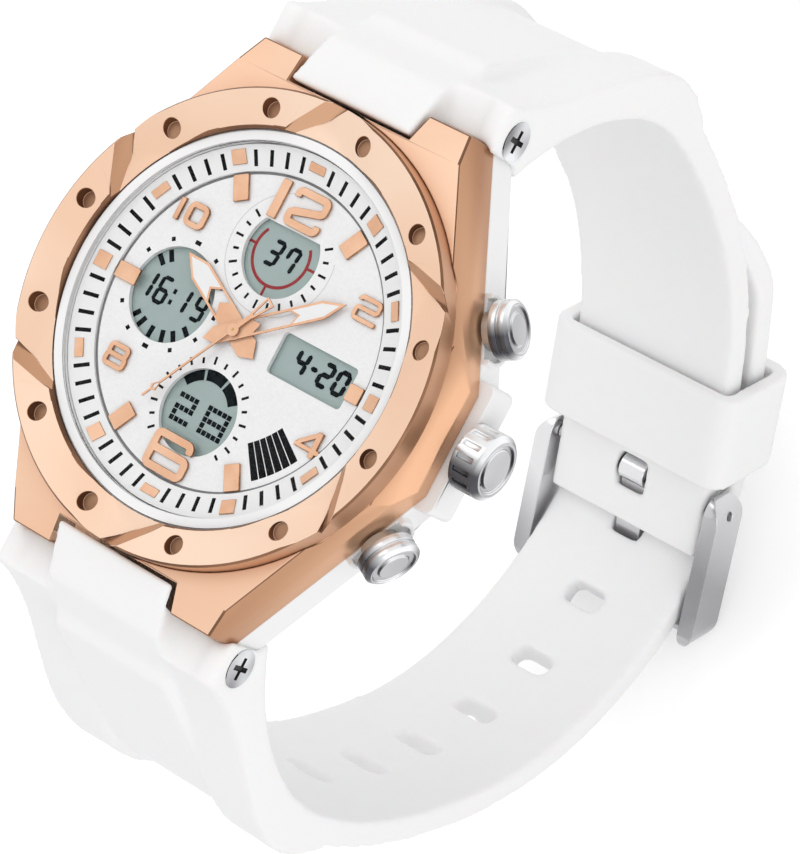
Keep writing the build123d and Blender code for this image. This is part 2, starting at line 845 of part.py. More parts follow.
def train_wheel(place, wheel, wheel_level, pinion, pinion_level):
    """A wheel and its pinion on one arbor with two pivots."""
    with BuildPart() as mobile:
        with BuildSketch(rise(bridge_foot, fit)):
            with Locations((place.X, place.Y)):
                Circle(pivot_radius)
        extrude(amount=plate_top - bridge_foot - fit * 2)
        with BuildSketch(rise(wheel_level, 0)):
            wheel_face(place, wheel, train_teeth)
        extrude(amount=wheel_thickness)
        with BuildSketch(rise(pinion_level, 0)):
            with Locations((place.X, place.Y)):
                Circle(pinion)
        extrude(amount=pinion_thickness)
    return mobile


intermediate_wheel = train_wheel(
    intermediate_place, intermediate_wheel_radius, train_levels["rotor_pinion"],
    intermediate_pinion_radius, train_levels["second_wheel"] - (pinion_thickness - wheel_thickness) / 2,
)
intermediate_wheel.part.label = "intermediate_wheel"
export_step(intermediate_wheel.part, "parts/intermediate_wheel.step")

third_wheel = train_wheel(
    third_place, third_wheel_radius, train_levels["third_wheel"],
    third_pinion_radius, train_levels["third_pinion"] - (pinion_thickness - wheel_thickness) / 2,
)
third_wheel.part.label = "third_wheel"
export_step(third_wheel.part, "parts/third_wheel.step")

motion_wheel = train_wheel(
    motion_place, motion_wheel_radius, train_levels["cannon"],
    motion_pinion_radius, train_levels["motion_pinion"] - (pinion_thickness - wheel_thickness) / 2,
)
motion_wheel.part.label = "motion_wheel"
export_step(motion_wheel.part, "parts/motion_wheel.step")

with BuildPart() as rotor:
    with BuildSketch(rise(bridge_foot, fit)):
        with Locations((rotor_place.X, rotor_place.Y)):
            Circle(pivot_radius)
    extrude(amount=plate_top - bridge_foot - fit * 2)
    with BuildSketch(rise(train_levels["rotor_pinion"], 0)):
        with Locations((rotor_place.X, rotor_place.Y)):
            Circle(rotor_pinion_radius)
    extrude(amount=pinion_thickness)
    with BuildSketch(rise(train_levels["third_wheel"], 0)):
        with Locations((rotor_place.X, rotor_place.Y)):
            Circle(rotor_radius)
    extrude(amount=rotor_length)
rotor.part.label = "rotor"
export_step(rotor.part, "parts/rotor.step")

with BuildPart() as second_wheel:
    with BuildSketch(rise(bridge_foot, fit)):
        Circle(second_arbor)
    extrude(amount=second_top - bridge_foot - fit)
    with BuildSketch(rise(train_levels["second_wheel"], 0)):
        wheel_face(Vector(0, 0, 0), second_wheel_radius, second_teeth)
    extrude(amount=wheel_thickness)
    with BuildSketch(rise(train_levels["third_wheel"], (wheel_thickness - pinion_thickness) / 2)):
        Circle(second_pinion_radius)
    extrude(amount=pinion_thickness)
second_wheel.part.label = "second_wheel"
export_step(second_wheel.part, "parts/second_wheel.step")

with BuildPart() as centre_wheel:
    with BuildSketch(rise(train_levels["third_pinion"], 0)):
        wheel_face(Vector(0, 0, 0), centre_wheel_radius, centre_teeth)
    extrude(amount=wheel_thickness)
    with BuildSketch(rise(train_levels["cannon"], (wheel_thickness - pinion_thickness) / 2)):
        Circle(cannon_radius)
    extrude(amount=pinion_thickness)
    with BuildSketch(rise(train_levels["third_pinion"], 0)):
        Circle(minute_pipe)
    extrude(amount=minute_foot + hand_thickness - train_levels["third_pinion"])
    with BuildSketch(rise(bridge_top, 0)):
        Circle(second_bore)
    extrude(amount=case_height, mode=Mode.SUBTRACT)
centre_wheel.part.label = "centre_wheel"
export_step(centre_wheel.part, "parts/centre_wheel.step")

with BuildPart() as hour_wheel:
    with BuildSketch(rise(train_levels["motion_pinion"], 0)):
        wheel_face(Vector(0, 0, 0), hour_wheel_radius, second_teeth)
    extrude(amount=wheel_thickness)
    with BuildSketch(rise(train_levels["motion_pinion"], 0)):
        Circle(hour_pipe)
    extrude(amount=hour_foot + hand_thickness - train_levels["motion_pinion"])
    with BuildSketch(rise(bridge_top, 0)):
        Circle(minute_bore)
    extrude(amount=case_height, mode=Mode.SUBTRACT)
hour_wheel.part.label = "hour_wheel"
export_step(hour_wheel.part, "parts/hour_wheel.step")

pillar_circle = 8.7
pillar_radius = 0.55
pillar_head = 0.9
pillar_head_height = 0.4
pillar_angles = (60, 180, 300)
arbor_places = [(0, 0)] + [(p.X, p.Y) for p in (third_place, motion_place, intermediate_place, rotor_place)]

with BuildPart() as train_bridge:
    with BuildSketch(rise(bridge_foot, 0)):
        Circle(bridge_radius)
        with Locations(*arbor_places):
            Circle(pivot_radius + fit, mode=Mode.SUBTRACT)
        for angle in pillar_angles:
            spot = clockwise(pillar_circle, angle, 0)
            with Locations((spot.X, spot.Y)):
                Circle(pillar_radius, mode=Mode.SUBTRACT)
    extrude(amount=bridge_thickness)
train_bridge.part.label = "train_bridge"
export_step(train_bridge.part, "parts/train_bridge.step")

with BuildPart() as main_plate:
    with BuildSketch(rise(plate_foot, 0)):
        Circle(bridge_radius)
        Circle(centre_hole, mode=Mode.SUBTRACT)
        with Locations(*arbor_places[1:]):
            Circle(pivot_radius + fit, mode=Mode.SUBTRACT)
        for angle in pillar_angles:
            spot = clockwise(pillar_circle, angle, 0)
            with Locations((spot.X, spot.Y)):
                Circle(pillar_radius, mode=Mode.SUBTRACT)
    extrude(amount=plate_thickness)
main_plate.part.label = "main_plate"
export_step(main_plate.part, "parts/main_plate.step")

with BuildPart() as pillar_screws:
    for angle in pillar_angles:
        spot = clockwise(pillar_circle, angle, 0)
        with BuildSketch(rise(board_top, 0)):
            with Locations((spot.X, spot.Y)):
                Circle(pillar_radius)
        extrude(amount=plate_top - board_top)
        with BuildSketch(rise(plate_top, 0)):
            with Locations((spot.X, spot.Y)):
                Circle(pillar_head)
        extrude(amount=pillar_head_height)
pillar_screws.part.label = "pillar_screws"
export_step(pillar_screws.part, "parts/pillar_screws.step")

# Step motor: a coil on its core, and the stator plate round the rotor
stator_thickness = 0.4
stator_width = 2.6
coil_radius = 0.85
coil_length = 6.0
core_end = 1.2
coil_y = 7.4
stator_gap = 0.2
stator_level = train_levels["third_wheel"] + (rotor_length - stator_thickness) / 2
with BuildPart() as stator:
    with BuildSketch(rise(stator_level, 0)):
        with BuildLine():
            Polyline(
                (rotor_place.X - stator_width, rotor_place.Y - stator_width / 4),
                (rotor_place.X - coil_length / 3, coil_y - coil_radius / 2),
                (rotor_place.X + coil_length * 2 / 3, coil_y - coil_radius / 2),
                (rotor_place.X + coil_length / 3, rotor_place.Y - stator_width / 4),
                close=True,
            )
        make_face()
        with Locations((rotor_place.X, rotor_place.Y)):
            Circle(rotor_radius + stator_gap, mode=Mode.SUBTRACT)
        Circle(centre_wheel_radius + stator_gap, mode=Mode.SUBTRACT)
    extrude(amount=stator_thickness)
stator.part.label = "stator"
export_step(stator.part, "parts/stator.step")

coil_start = Vector(rotor_place.X - coil_length / 3, coil_y + coil_radius / 2, stator_level)
with BuildPart() as coil:
    with BuildSketch(Plane(origin=coil_start, x_dir=(0, 1, 0), z_dir=(1, 0, 0))):
        Circle(coil_radius - fit)
    extrude(amount=coil_length)
coil.part.label = "coil"
export_step(coil.part, "parts/coil.step")

# Case back, its gasket and screws
with BuildPart() as case_back:
    with BuildSketch(Plane.XY):
        Circle(back_radius)
    extrude(amount=back_thickness)
    chamfer(case_back.edges().group_by(Axis.Z)[0], length=back_chamfer)
    with BuildSketch(rise(back_thickness, 0)):
        Circle(bore_radius - seat_gap)
    extrude(amount=boss_height)
    with BuildSketch(Plane.XY):
        with PolarLocations(back_screw_circle, back_screw_count, start_angle=back_screw_start):
            Circle(back_screw_shank)
    extrude(amount=back_thickness, mode=Mode.SUBTRACT)
    with BuildSketch(Plane.XY):
        with PolarLocations(back_screw_circle, back_screw_count, start_angle=back_screw_start):
            Circle(back_screw_head)
    extrude(amount=back_screw_head_height + fit, mode=Mode.SUBTRACT)
case_back.part.label = "case_back"
export_step(case_back.part, "parts/case_back.step")

with BuildPart() as back_gasket:
    gasket_middle = bore_radius + gasket_section - seat_gap / 2
    with BuildSketch(Plane.XZ):
        with Locations((gasket_middle, back_thickness + gasket_section + fit / 2)):
            Circle(gasket_section - fit / 2)
    revolve(axis=Axis.Z)
back_gasket.part.label = "back_gasket"
export_step(back_gasket.part, "parts/back_gasket.step")

screw_slot = 0.2
with BuildPart() as back_screws:
    with BuildSketch(rise(fit, 0)):
        with PolarLocations(back_screw_circle, back_screw_count, start_angle=back_screw_start):
            Circle(back_screw_head - fit)
    extrude(amount=back_screw_head_height)
    with BuildSketch(rise(fit, 0)):
        with PolarLocations(back_screw_circle, back_screw_count, start_angle=back_screw_start):
            Circle(back_screw_shank)
    extrude(amount=back_screw_length - fit)
    with BuildSketch(rise(fit, 0)):
        with PolarLocations(back_screw_circle, back_screw_count, start_angle=back_screw_start):
            Rectangle(back_screw_head, screw_slot)
            Rectangle(screw_slot, back_screw_head)
    extrude(amount=screw_slot, mode=Mode.SUBTRACT)
back_screws.part.label = "back_screws"
export_step(back_screws.part, "parts/back_screws.step")

# Hands, at the time the photograph shows; each is drawn pointing to +Y
hour_direction = 297.0
minute_direction = 54.0
second_direction = 210.8
hour_reach = 9.45
hour_half = 1.1
minute_reach = 11.3
minute_half = 0.85
second_reach = 10.5
second_wide = 0.22
hand_tail = 3.3
second_tail = 4.4
tip_length = 2.3
tail_length = 1.2
hand_rim = 0.24
arrow_length = 0.8
hour_opening = (3.4, 5.0)
minute_opening = (2.7, 6.4)


def hand_blade(reach, half, opening):
    """An hour or minute hand: a strip pointed at both ends, a hub, and one arrow-shaped opening."""
    near, far = opening
    side = half - hand_rim
    shoulder = reach - tip_length
    with BuildSketch() as blade:
        Polygon(
            (0, reach),
            (half, shoulder),
            (half, tail_length - hand_tail),
            (0, -hand_tail),
            (-half, tail_length - hand_tail),
            (-half, shoulder),
            align=None,
        )
        Polygon(
            (0, near),
            (side, near - arrow_length),
            (side, far - arrow_length),
            (0, far),
            (-side, far - arrow_length),
            (-side, near - arrow_length),
            align=None,
            mode=Mode.SUBTRACT,
        )
        Circle(hub_radius)
    return blade.sketch


with BuildPart() as hour_hand:
    with BuildSketch(hand_plane(hour_foot, hour_direction)):
        add(hand_blade(hour_reach, hour_half, hour_opening))
        Circle(hour_pipe, mode=Mode.SUBTRACT)
    extrude(amount=hand_thickness)
hour_hand.part.label = "hour_hand"
export_step(hour_hand.part, "parts/hour_hand.step")

with BuildPart() as minute_hand:
    with BuildSketch(hand_plane(minute_foot, minute_direction)):
        add(hand_blade(minute_reach, minute_half, minute_opening))
        Circle(minute_pipe, mode=Mode.SUBTRACT)
    extrude(amount=hand_thickness)
minute_hand.part.label = "minute_hand"
export_step(minute_hand.part, "parts/minute_hand.step")

lozenge_half = 0.4
lozenge_length = 1.4
lozenge_back = 0.9
second_box = (0.55, 1.1, 2.3)
second_hub_share = 0.7
with BuildPart() as second_hand:
    with BuildSketch(hand_plane(second_foot, second_direction)):
        Rectangle(second_wide, second_reach, align=(Align.CENTER, Align.MIN))
        Rectangle(second_wide * 2, second_tail - second_box[2], align=(Align.CENTER, Align.MAX))
        Circle(hub_radius * second_hub_share)
        with Locations((0, second_reach - lozenge_back)):
            Polygon(
                (0, 0), (lozenge_half, -lozenge_half), (0, -lozenge_length), (-lozenge_half, -lozenge_half),
                align=None,
            )
        with Locations((0, second_reach - lozenge_back - second_wide)):
            Polygon(
                (0, 0),
                (lozenge_half - second_wide, -lozenge_half),
                (0, second_wide * 2 - lozenge_length),
                (second_wide - lozenge_half, -lozenge_half),
                align=None,
                mode=Mode.SUBTRACT,
            )
        with Locations((0, second_box[2] - second_tail)):
            Polygon(
                (second_box[0] / 2, 0),
                (second_box[1] / 2, -second_box[2]),
                (-second_box[1] / 2, -second_box[2]),
                (-second_box[0] / 2, 0),
                align=None,
            )
        with Locations((0, second_box[2] - second_tail - second_wide)):
            Polygon(
                (second_box[0] / 2 - second_wide, 0),
                (second_box[1] / 2 - second_wide, second_wide * 2 - second_box[2]),
                (second_wide - second_box[1] / 2, second_wide * 2 - second_box[2]),
                (second_wide - second_box[0] / 2, 0),
                align=None,
                mode=Mode.SUBTRACT,
            )
        Circle(second_arbor, mode=Mode.SUBTRACT)
    extrude(amount=hand_thickness)
second_hand.part.label = "second_hand"
export_step(second_hand.part, "parts/second_hand.step")

# Crown with its stem, tube, gasket and the yoke that rides in the stem's groove
crown_foot = apron_reach + crown_stand
crown_face = crown_foot + crown_length
with BuildPart() as crown:
    with BuildSketch(button_plane(0, crown_foot)):
        Circle(crown_radius)
    extrude(amount=crown_length)
    chamfer(crown.edges().group_by(Axis.X)[-1], length=crown_bevel)
    with BuildSketch(button_plane(0, crown_foot + crown_bevel)):
        with PolarLocations(crown_radius, crown_flutes):
            Rectangle(crown_flute_depth * 2, crown_flute_width)
    extrude(amount=crown_length - crown_bevel - crown_rim, mode=Mode.SUBTRACT)
    with BuildSketch(button_plane(0, crown_face - crown_dish)):
        Circle(crown_radius - crown_bevel * 2)
        Circle(crown_disc, mode=Mode.SUBTRACT)
    extrude(amount=crown_dish, mode=Mode.SUBTRACT)
    with BuildSketch(button_plane(0, crown_foot)):
        Circle(crown_bore)
    extrude(amount=crown_bore_depth, mode=Mode.SUBTRACT)
    with BuildSketch(button_plane(0, crown_foot)):
        Circle(stem_radius)
    extrude(amount=crown_length - crown_dish * 2, mode=Mode.SUBTRACT)
crown.part.label = "crown"
export_step(crown.part, "parts/crown.step")

with BuildPart() as crown_stem:
    with BuildSketch(button_plane(0, stem_inner_end)):
        Circle(stem_radius)
    extrude(amount=crown_face - crown_dish * 2 - stem_inner_end)
    with BuildSketch(button_plane(0, yoke_place - yoke_thickness / 2 - fit)):
        Circle(stem_radius + overrun)
        Circle(stem_radius * neck_share, mode=Mode.SUBTRACT)
    extrude(amount=yoke_thickness + fit * 2, mode=Mode.SUBTRACT)
crown_stem.part.label = "crown_stem"
export_step(crown_stem.part, "parts/crown_stem.step")

with BuildPart() as stem_yoke:
    with BuildSketch(button_plane(0, yoke_place - yoke_thickness / 2)):
        Rectangle(yoke_width, yoke_height)
        Circle(stem_radius * neck_share + fit, mode=Mode.SUBTRACT)
        with Locations((0, -yoke_height / 2)):
            Rectangle((stem_radius * neck_share + fit) * 2, yoke_height, mode=Mode.SUBTRACT)
    extrude(amount=yoke_thickness)
stem_yoke.part.label = "stem_yoke"
export_step(stem_yoke.part, "parts/stem_yoke.step")

tube_bore = stem_radius + fit
crown_tube_end = crown_foot + crown_bore_depth - crown_stand
with BuildPart() as crown_tube:
    with BuildSketch(button_plane(0, bore_radius - seat_gap)):
        Circle(tube_radius)
        Circle(tube_bore, mode=Mode.SUBTRACT)
    extrude(amount=crown_tube_end - bore_radius + seat_gap)
crown_tube.part.label = "crown_tube"
export_step(crown_tube.part, "parts/crown_tube.step")

with BuildPart() as crown_gasket:
    with BuildSketch(button_plane(0, crown_foot + crown_stand)):
        Circle(crown_bore)
        Circle(tube_radius + fit, mode=Mode.SUBTRACT)
    extrude(amount=crown_stand)
crown_gasket.part.label = "crown_gasket"
export_step(crown_gasket.part, "parts/crown_gasket.step")

# Pushers: a cupped head on a stem, which slides in a pressed tube against a spring
pusher_foot = pusher_reach - pusher_length
collar_floor = pusher_foot - pusher_travel - seat_gap
with BuildPart() as pusher_tubes:
    for angle in pusher_angles.values():
        with BuildSketch(button_plane(angle, bore_radius - seat_gap)):
            Circle(tube_radius)
            Circle(tube_bore, mode=Mode.SUBTRACT)
        extrude(amount=collar_floor - bore_radius + seat_gap)
pusher_tubes.part.label = "pusher_tubes"
export_step(pusher_tubes.part, "parts/pusher_tubes.step")

for side, angle in pusher_angles.items():
    with BuildPart() as pusher:
        with BuildSketch(button_plane(angle, pusher_foot)):
            Circle(pusher_radius)
        extrude(amount=pusher_length)
        face_edge = pusher.edges().sort_by(Axis(origin=(0, 0, 0), direction=button_plane(angle, 0).z_dir))[-1]
        chamfer(face_edge, length=pusher_bevel)
        with BuildSketch(button_plane(angle, pusher_foot + pusher_length / 2 - pusher_groove)):
            Circle(pusher_radius + overrun)
            Circle(pusher_radius - pusher_groove, mode=Mode.SUBTRACT)
        extrude(amount=pusher_groove, mode=Mode.SUBTRACT)
        with BuildSketch(button_plane(angle, pusher_reach - pusher_groove)):
            Circle(pusher_radius - pusher_bevel * 2)
            Circle(pusher_disc, mode=Mode.SUBTRACT)
        extrude(amount=pusher_groove, mode=Mode.SUBTRACT)
        with BuildSketch(button_plane(angle, pusher_foot)):
            Circle(pusher_bore)
        extrude(amount=pusher_length - pusher_face, mode=Mode.SUBTRACT)
        with BuildSketch(button_plane(angle, pusher_inner_end)):
            Circle(pusher_stem)
        extrude(amount=pusher_reach - pusher_face - pusher_inner_end)
        with BuildSketch(button_plane(angle, pusher_inner_end + clip_thickness)):
            Circle(pusher_stem + overrun)
            Circle(pusher_stem * neck_share, mode=Mode.SUBTRACT)
        extrude(amount=clip_thickness, mode=Mode.SUBTRACT)
    pusher.part.label = f"pusher_{side}"
    export_step(pusher.part, f"parts/pusher_{side}.step")

    with BuildPart() as pusher_clip:
        with BuildSketch(button_plane(angle, pusher_inner_end + clip_thickness)):
            Circle(clip_radius)
            Circle(pusher_stem * neck_share, mode=Mode.SUBTRACT)
            with Locations((0, -clip_radius)):
                Rectangle(pusher_stem, clip_radius * 2, mode=Mode.SUBTRACT)
        extrude(amount=clip_thickness)
    pusher_clip.part.label = f"pusher_clip_{side}"
    export_step(pusher_clip.part, f"parts/pusher_clip_{side}.step")

    with BuildPart() as pusher_spring:
        with BuildSketch(button_plane(angle, collar_floor)):
            Circle(spring_outer)
            Circle(spring_outer - spring_wall, mode=Mode.SUBTRACT)
        extrude(amount=pusher_reach - pusher_face - collar_floor)
    pusher_spring.part.label = f"pusher_spring_{side}"
    export_step(pusher_spring.part, f"parts/pusher_spring_{side}.step")

# Strap: the side view of each half is a chain of tangent arcs, drawn away from the case
side_planes = {
    "upper": Plane(origin=(0, 0, 0), x_dir=(0, 1, 0), z_dir=(1, 0, 0)),
    "lower": Plane(origin=(0, 0, 0), x_dir=(0, -1, 0), z_dir=(-1, 0, 0)),
}


def strap_line(bends, lift):
    """One face of a strap, lift outside its inner face; a bend of radius 0 is a straight run."""
    turn = math.radians(strap_heading)
    point = Vector(strap_start + lift * math.sin(turn), wall_foot + lift * math.cos(turn))
    way = Vector(math.cos(turn), -math.sin(turn))
    with BuildLine() as face_line:
        for radius, size in bends:
            if radius:
                edge = JernArc(start=point, tangent=way, radius=radius + lift, arc_size=-size)
            else:
                edge = Line(point, point + way * size)
            point, way = edge @ 1, edge % 1
    return face_line.wires()[0]


def on_strap(path, distance, lift):
    """A point of the side view: along the inner face, then outwards."""
    spot, way = path @ (distance / path.length), path % (distance / path.length)
    return spot + Vector(-way.Y, way.X) * lift


def strap_plane(side, path, distance, lift):
    """A plane on a strap: X across it, Y along it towards the case, Z outwards."""
    plane = side_planes[side]
    way = path % (distance / path.length)
    outward = plane.from_local_coords(Vector(-way.Y, way.X))
    spot = plane.from_local_coords(on_strap(path, distance, lift))
    return Plane(origin=spot, x_dir=(1, 0, 0), z_dir=outward)


def strap_side_view(bends, thickness):
    """Face between the two lines of a strap."""
    inner, outer = strap_line(bends, 0), strap_line(bends, thickness)
    with BuildSketch() as view:
        with BuildLine():
            add(inner)
            add(outer)
            Line(inner @ 0, outer @ 0)
            Line(inner @ 1, outer @ 1)
        make_face()
    return view.sketch


upper_path = strap_line(upper_bends, 0)
lower_path = strap_line(lower_bends, 0)
screw_height = wall_foot + screw_rise
block_shares = ((0, 1), (0.565, 0.72), (0.837, 0.303), (1, 0.213))
spine_places = ((0.4, 1.55), (0.65, 1.28), (1.4, 0.98))
ear_places = ((0.38, 1.27), (0.62, 1.28), (1.4, 0.98))
merge_distance = 25.0


def strap_front_view():
    """A block with the strap's outline seen from 12 o'clock, wide at the case and narrow round the wrist."""
    top = wall_foot - band_thickness * 2
    waist = wall_foot - band_drop / 2
    foot = case_height - outline_drop
    with BuildPart() as outline:
        with BuildSketch(Plane.XZ):
            with BuildLine():
                Polyline((-band_half_case, top), (-band_half_case, case_height),
                         (band_half_case, case_height), (band_half_case, top))
                for turn in (1, -1):
                    Spline((turn * band_half_case, top), (turn * band_half_wrist, waist),
                           (turn * band_half_end, foot), tangents=((0, -1), (0, -1)))
                Line((-band_half_end, foot), (band_half_end, foot))
            make_face()
        extrude(amount=band_drop, both=True)
    return outline.part


def rib_face(path, front, corner_points, places):
    """Side view of a rib that stands on the band and sinks into it."""
    tops = [on_strap(path, merge_distance * along, band_thickness * lift) for along, lift in places]
    roots = [on_strap(path, merge_distance * along, band_thickness / 2) for along, lift in reversed(places)]
    with BuildSketch() as view:
        with BuildLine():
            Polyline((front, wall_foot), *corner_points)
            Spline(corner_points[-1], *tops)
            Polyline(tops[-1], *roots, (front, wall_foot))
        make_face()
    return view.sketch


def strap_half(side, path, bends, thickness):
    """Band, ears, shoulder over the lugs, central block and their cuts, before the free end is cut."""
    front = side_planes[side]
    sign = 1 if side == "upper" else -1
    block_points = [
        (block_front + along * block_length, wall_foot + up * block_height) for along, up in block_shares
    ]
    ear_points = [(ear_front, wall_foot + ear_height), (ear_front + ear_length, wall_foot + ear_height)]
    shoulder_points = [(place, wall_foot + shoulder_height) for place, height in ear_points]
    with BuildPart() as half:
        with BuildSketch(front):
            add(rib_face(path, ear_front, ear_points, ear_places))
        extrude(amount=band_half_case, both=True)
        with BuildSketch(front):
            add(rib_face(path, ear_front, ear_points, ear_places))
        extrude(amount=ear_inner, both=True, mode=Mode.SUBTRACT)
        with BuildSketch(front):
            add(rib_face(path, ear_front, shoulder_points, ear_places))
        extrude(amount=ear_inner, both=True)
        with BuildSketch(front):
            add(rib_face(path, ear_front, ear_points, ear_places))
        extrude(amount=spine_half, both=True, mode=Mode.SUBTRACT)
        with BuildSketch(front):
            add(strap_side_view(bends, thickness))
        extrude(amount=band_half_case, both=True)
        with BuildSketch(front):
            add(rib_face(path, block_front, block_points, spine_places))
        extrude(amount=spine_half, both=True)
        add(strap_front_view(), mode=Mode.INTERSECT)
        for turn in (1, -1):
            with BuildSketch(rise(wall_foot, -pocket_drop)):
                with Locations((turn * (spine_half + ear_inner) / 2, sign * pocket_reach / 2)):
                    Rectangle(ear_inner - spine_half, pocket_reach)
            extrude(amount=wall_height + pocket_drop, mode=Mode.SUBTRACT)
            horn_room = horn_reach + seat_gap
            with BuildSketch(rise(wall_foot, -seat_gap)):
                with Locations((turn * (spine_half + band_half_case + overrun) / 2, sign * ear_front / 2)):
                    Rectangle(band_half_case + overrun - spine_half, ear_front)
                with Locations((turn * (spine_half + ear_outer_start) / 2, sign * horn_room / 2)):
                    Rectangle(ear_outer_start - spine_half, horn_room)
            extrude(amount=block_height, mode=Mode.SUBTRACT)
            with BuildSketch(Plane.YZ.offset(turn * (band_half_case - screw_head_depth))):
                with Locations((sign * screw_reach, screw_height)):
                    Circle(screw_head + fit)
            extrude(amount=turn * (screw_head_depth + overrun), mode=Mode.SUBTRACT)
        with BuildSketch(Plane.YZ):
            with Locations((sign * screw_reach, screw_height)):
                Circle(screw_shank)
        extrude(amount=band_half_case, both=True, mode=Mode.SUBTRACT)
        with BuildSketch(Plane.YZ):
            with Locations((sign * screw_reach, screw_height)):
                Circle(strap_tube_radius)
        extrude(amount=spine_half, both=True, mode=Mode.SUBTRACT)
    return half.part


# Axes at the free end of the upper strap, for everything that belongs to the buckle
end_point = side_planes["upper"].from_local_coords(upper_path @ 1)
end_way = side_planes["upper"].from_local_coords(upper_path % 1)
end_out = Vector(0, -end_way.Z, end_way.Y)
end_out = end_out if end_out.Z < 0 else end_out * -1


def by_end(back, lift):
    """A point measured back from the end of the upper strap and outwards from its inner face."""
    return end_point - end_way * back + end_out * lift


# Side view of the buckle: local x runs back up the upper strap, local y outwards
buckle_side = Plane(origin=end_point, x_dir=end_way * -1, z_dir=(end_way * -1).cross(end_out))
tongue_rise = cross_lift + cross_radius + seat_gap + tongue_thickness / 2 - bar_lift
tongue_angle = math.degrees(math.atan(tongue_rise / (bar_back + cross_forward)))
tongue_reach = bar_back + cross_forward + tongue_overhang

with BuildPart() as strap_upper:
    add(strap_half("upper", upper_path, upper_bends, band_thickness))
    with BuildSketch(buckle_side):
        with Locations((bar_back, bar_lift)):
            Circle(bar_radius)
    extrude(amount=band_half_case, both=True, mode=Mode.SUBTRACT)
    with BuildSketch(buckle_side):
        with Locations((bar_back, bar_lift)):
            Rectangle(slot_room * 2, band_thickness * 2)
        with Locations((bar_back - slot_room - tongue_reach / 2, web_thickness + band_thickness)):
            Rectangle(tongue_reach, band_thickness * 2)
    extrude(amount=slot_half, both=True, mode=Mode.SUBTRACT)
    with BuildSketch(buckle_side):
        Polygon(
            (-overrun, band_thickness / 2), (-overrun, band_thickness + overrun),
            (band_thickness, band_thickness + overrun), (band_thickness, band_thickness),
            (0, band_thickness * nose_share), align=None,
        )
    extrude(amount=band_half_case, both=True, mode=Mode.SUBTRACT)
strap_upper.part.label = "strap_upper"
export_step(strap_upper.part, "parts/strap_upper.step")

with BuildPart() as strap_lower:
    add(strap_half("lower", lower_path, lower_bends, tail_thickness))
    for place in range(1, hole_count):
        with BuildSketch(strap_plane("lower", lower_path, first_hole - hole_pitch * place, -overrun)):
            RectangleRounded(hole_width, hole_length, hole_corner)
        extrude(amount=tail_thickness + overrun * 2, mode=Mode.SUBTRACT)
    with BuildSketch(buckle_side):
        with Locations(Location((bar_back, bar_lift, 0), (0, 0, 1), -tongue_angle)):
            with Locations((-tongue_reach / 2, seat_gap * 2)):
                Rectangle(tongue_reach, tongue_thickness + tongue_room)
    extrude(amount=tongue_width / 2 + soft_gap, both=True, mode=Mode.SUBTRACT)
    tail_end = strap_plane("lower", lower_path, lower_path.length, -overrun)
    with BuildSketch(tail_end):
        Rectangle(band_half_case * 2, band_half_end * 2)
        with Locations((0, band_half_end)):
            Circle(tail_end_radius, mode=Mode.SUBTRACT)
    extrude(amount=tail_thickness + overrun * 2, mode=Mode.SUBTRACT)
strap_lower.part.label = "strap_lower"
export_step(strap_lower.part, "parts/strap_lower.step")

screw_inner_end = spine_half / 2
cross_slot = 0.45
cross_reach = 2.15
with BuildPart() as strap_screws:
    for sign in (1, -1):
        for turn in (1, -1):
            with BuildSketch(Plane.YZ.offset(turn * screw_inner_end)):
                with Locations((sign * screw_reach, screw_height)):
                    Circle(screw_shank)
            extrude(amount=turn * (band_half_case - screw_head_depth - screw_inner_end))
            with BuildSketch(Plane.YZ.offset(turn * (band_half_case - screw_head_depth))):
                with Locations((sign * screw_reach, screw_height)):
                    Circle(screw_head)
            extrude(amount=turn * (screw_head_depth - seat_gap))
            with BuildSketch(Plane.YZ.offset(turn * (band_half_case - cross_slot))):
                with Locations((sign * screw_reach, screw_height)):
                    Rectangle(cross_reach, cross_slot)
                    Rectangle(cross_slot, cross_reach)
            extrude(amount=turn * cross_slot, mode=Mode.SUBTRACT)
strap_screws.part.label = "strap_screws"
export_step(strap_screws.part, "parts/strap_screws.step")

with BuildPart() as strap_tubes:
    with BuildSketch(Plane.YZ):
        with Locations((screw_reach, screw_height), (-screw_reach, screw_height)):
            Circle(strap_tube_radius)
            Circle(screw_shank, mode=Mode.SUBTRACT)
    extrude(amount=spine_half, both=True)
strap_tubes.part.label = "strap_tubes"
export_step(strap_tubes.part, "parts/strap_tubes.step")

# Buckle: a frame that turns on the bar, and a tongue that rests on its cross bar
with BuildPart() as buckle_bar:
    with BuildSketch(buckle_side):
        with Locations((bar_back, bar_lift)):
            Circle(bar_radius)
    extrude(amount=frame_inner - seat_gap, both=True)
    with BuildSketch(buckle_side):
        with Locations((bar_back, bar_lift)):
            Circle(bar_pivot)
    extrude(amount=frame_inner + bar_pivot_depth, both=True)
buckle_bar.part.label = "buckle_bar"
export_step(buckle_bar.part, "parts/buckle_bar.step")

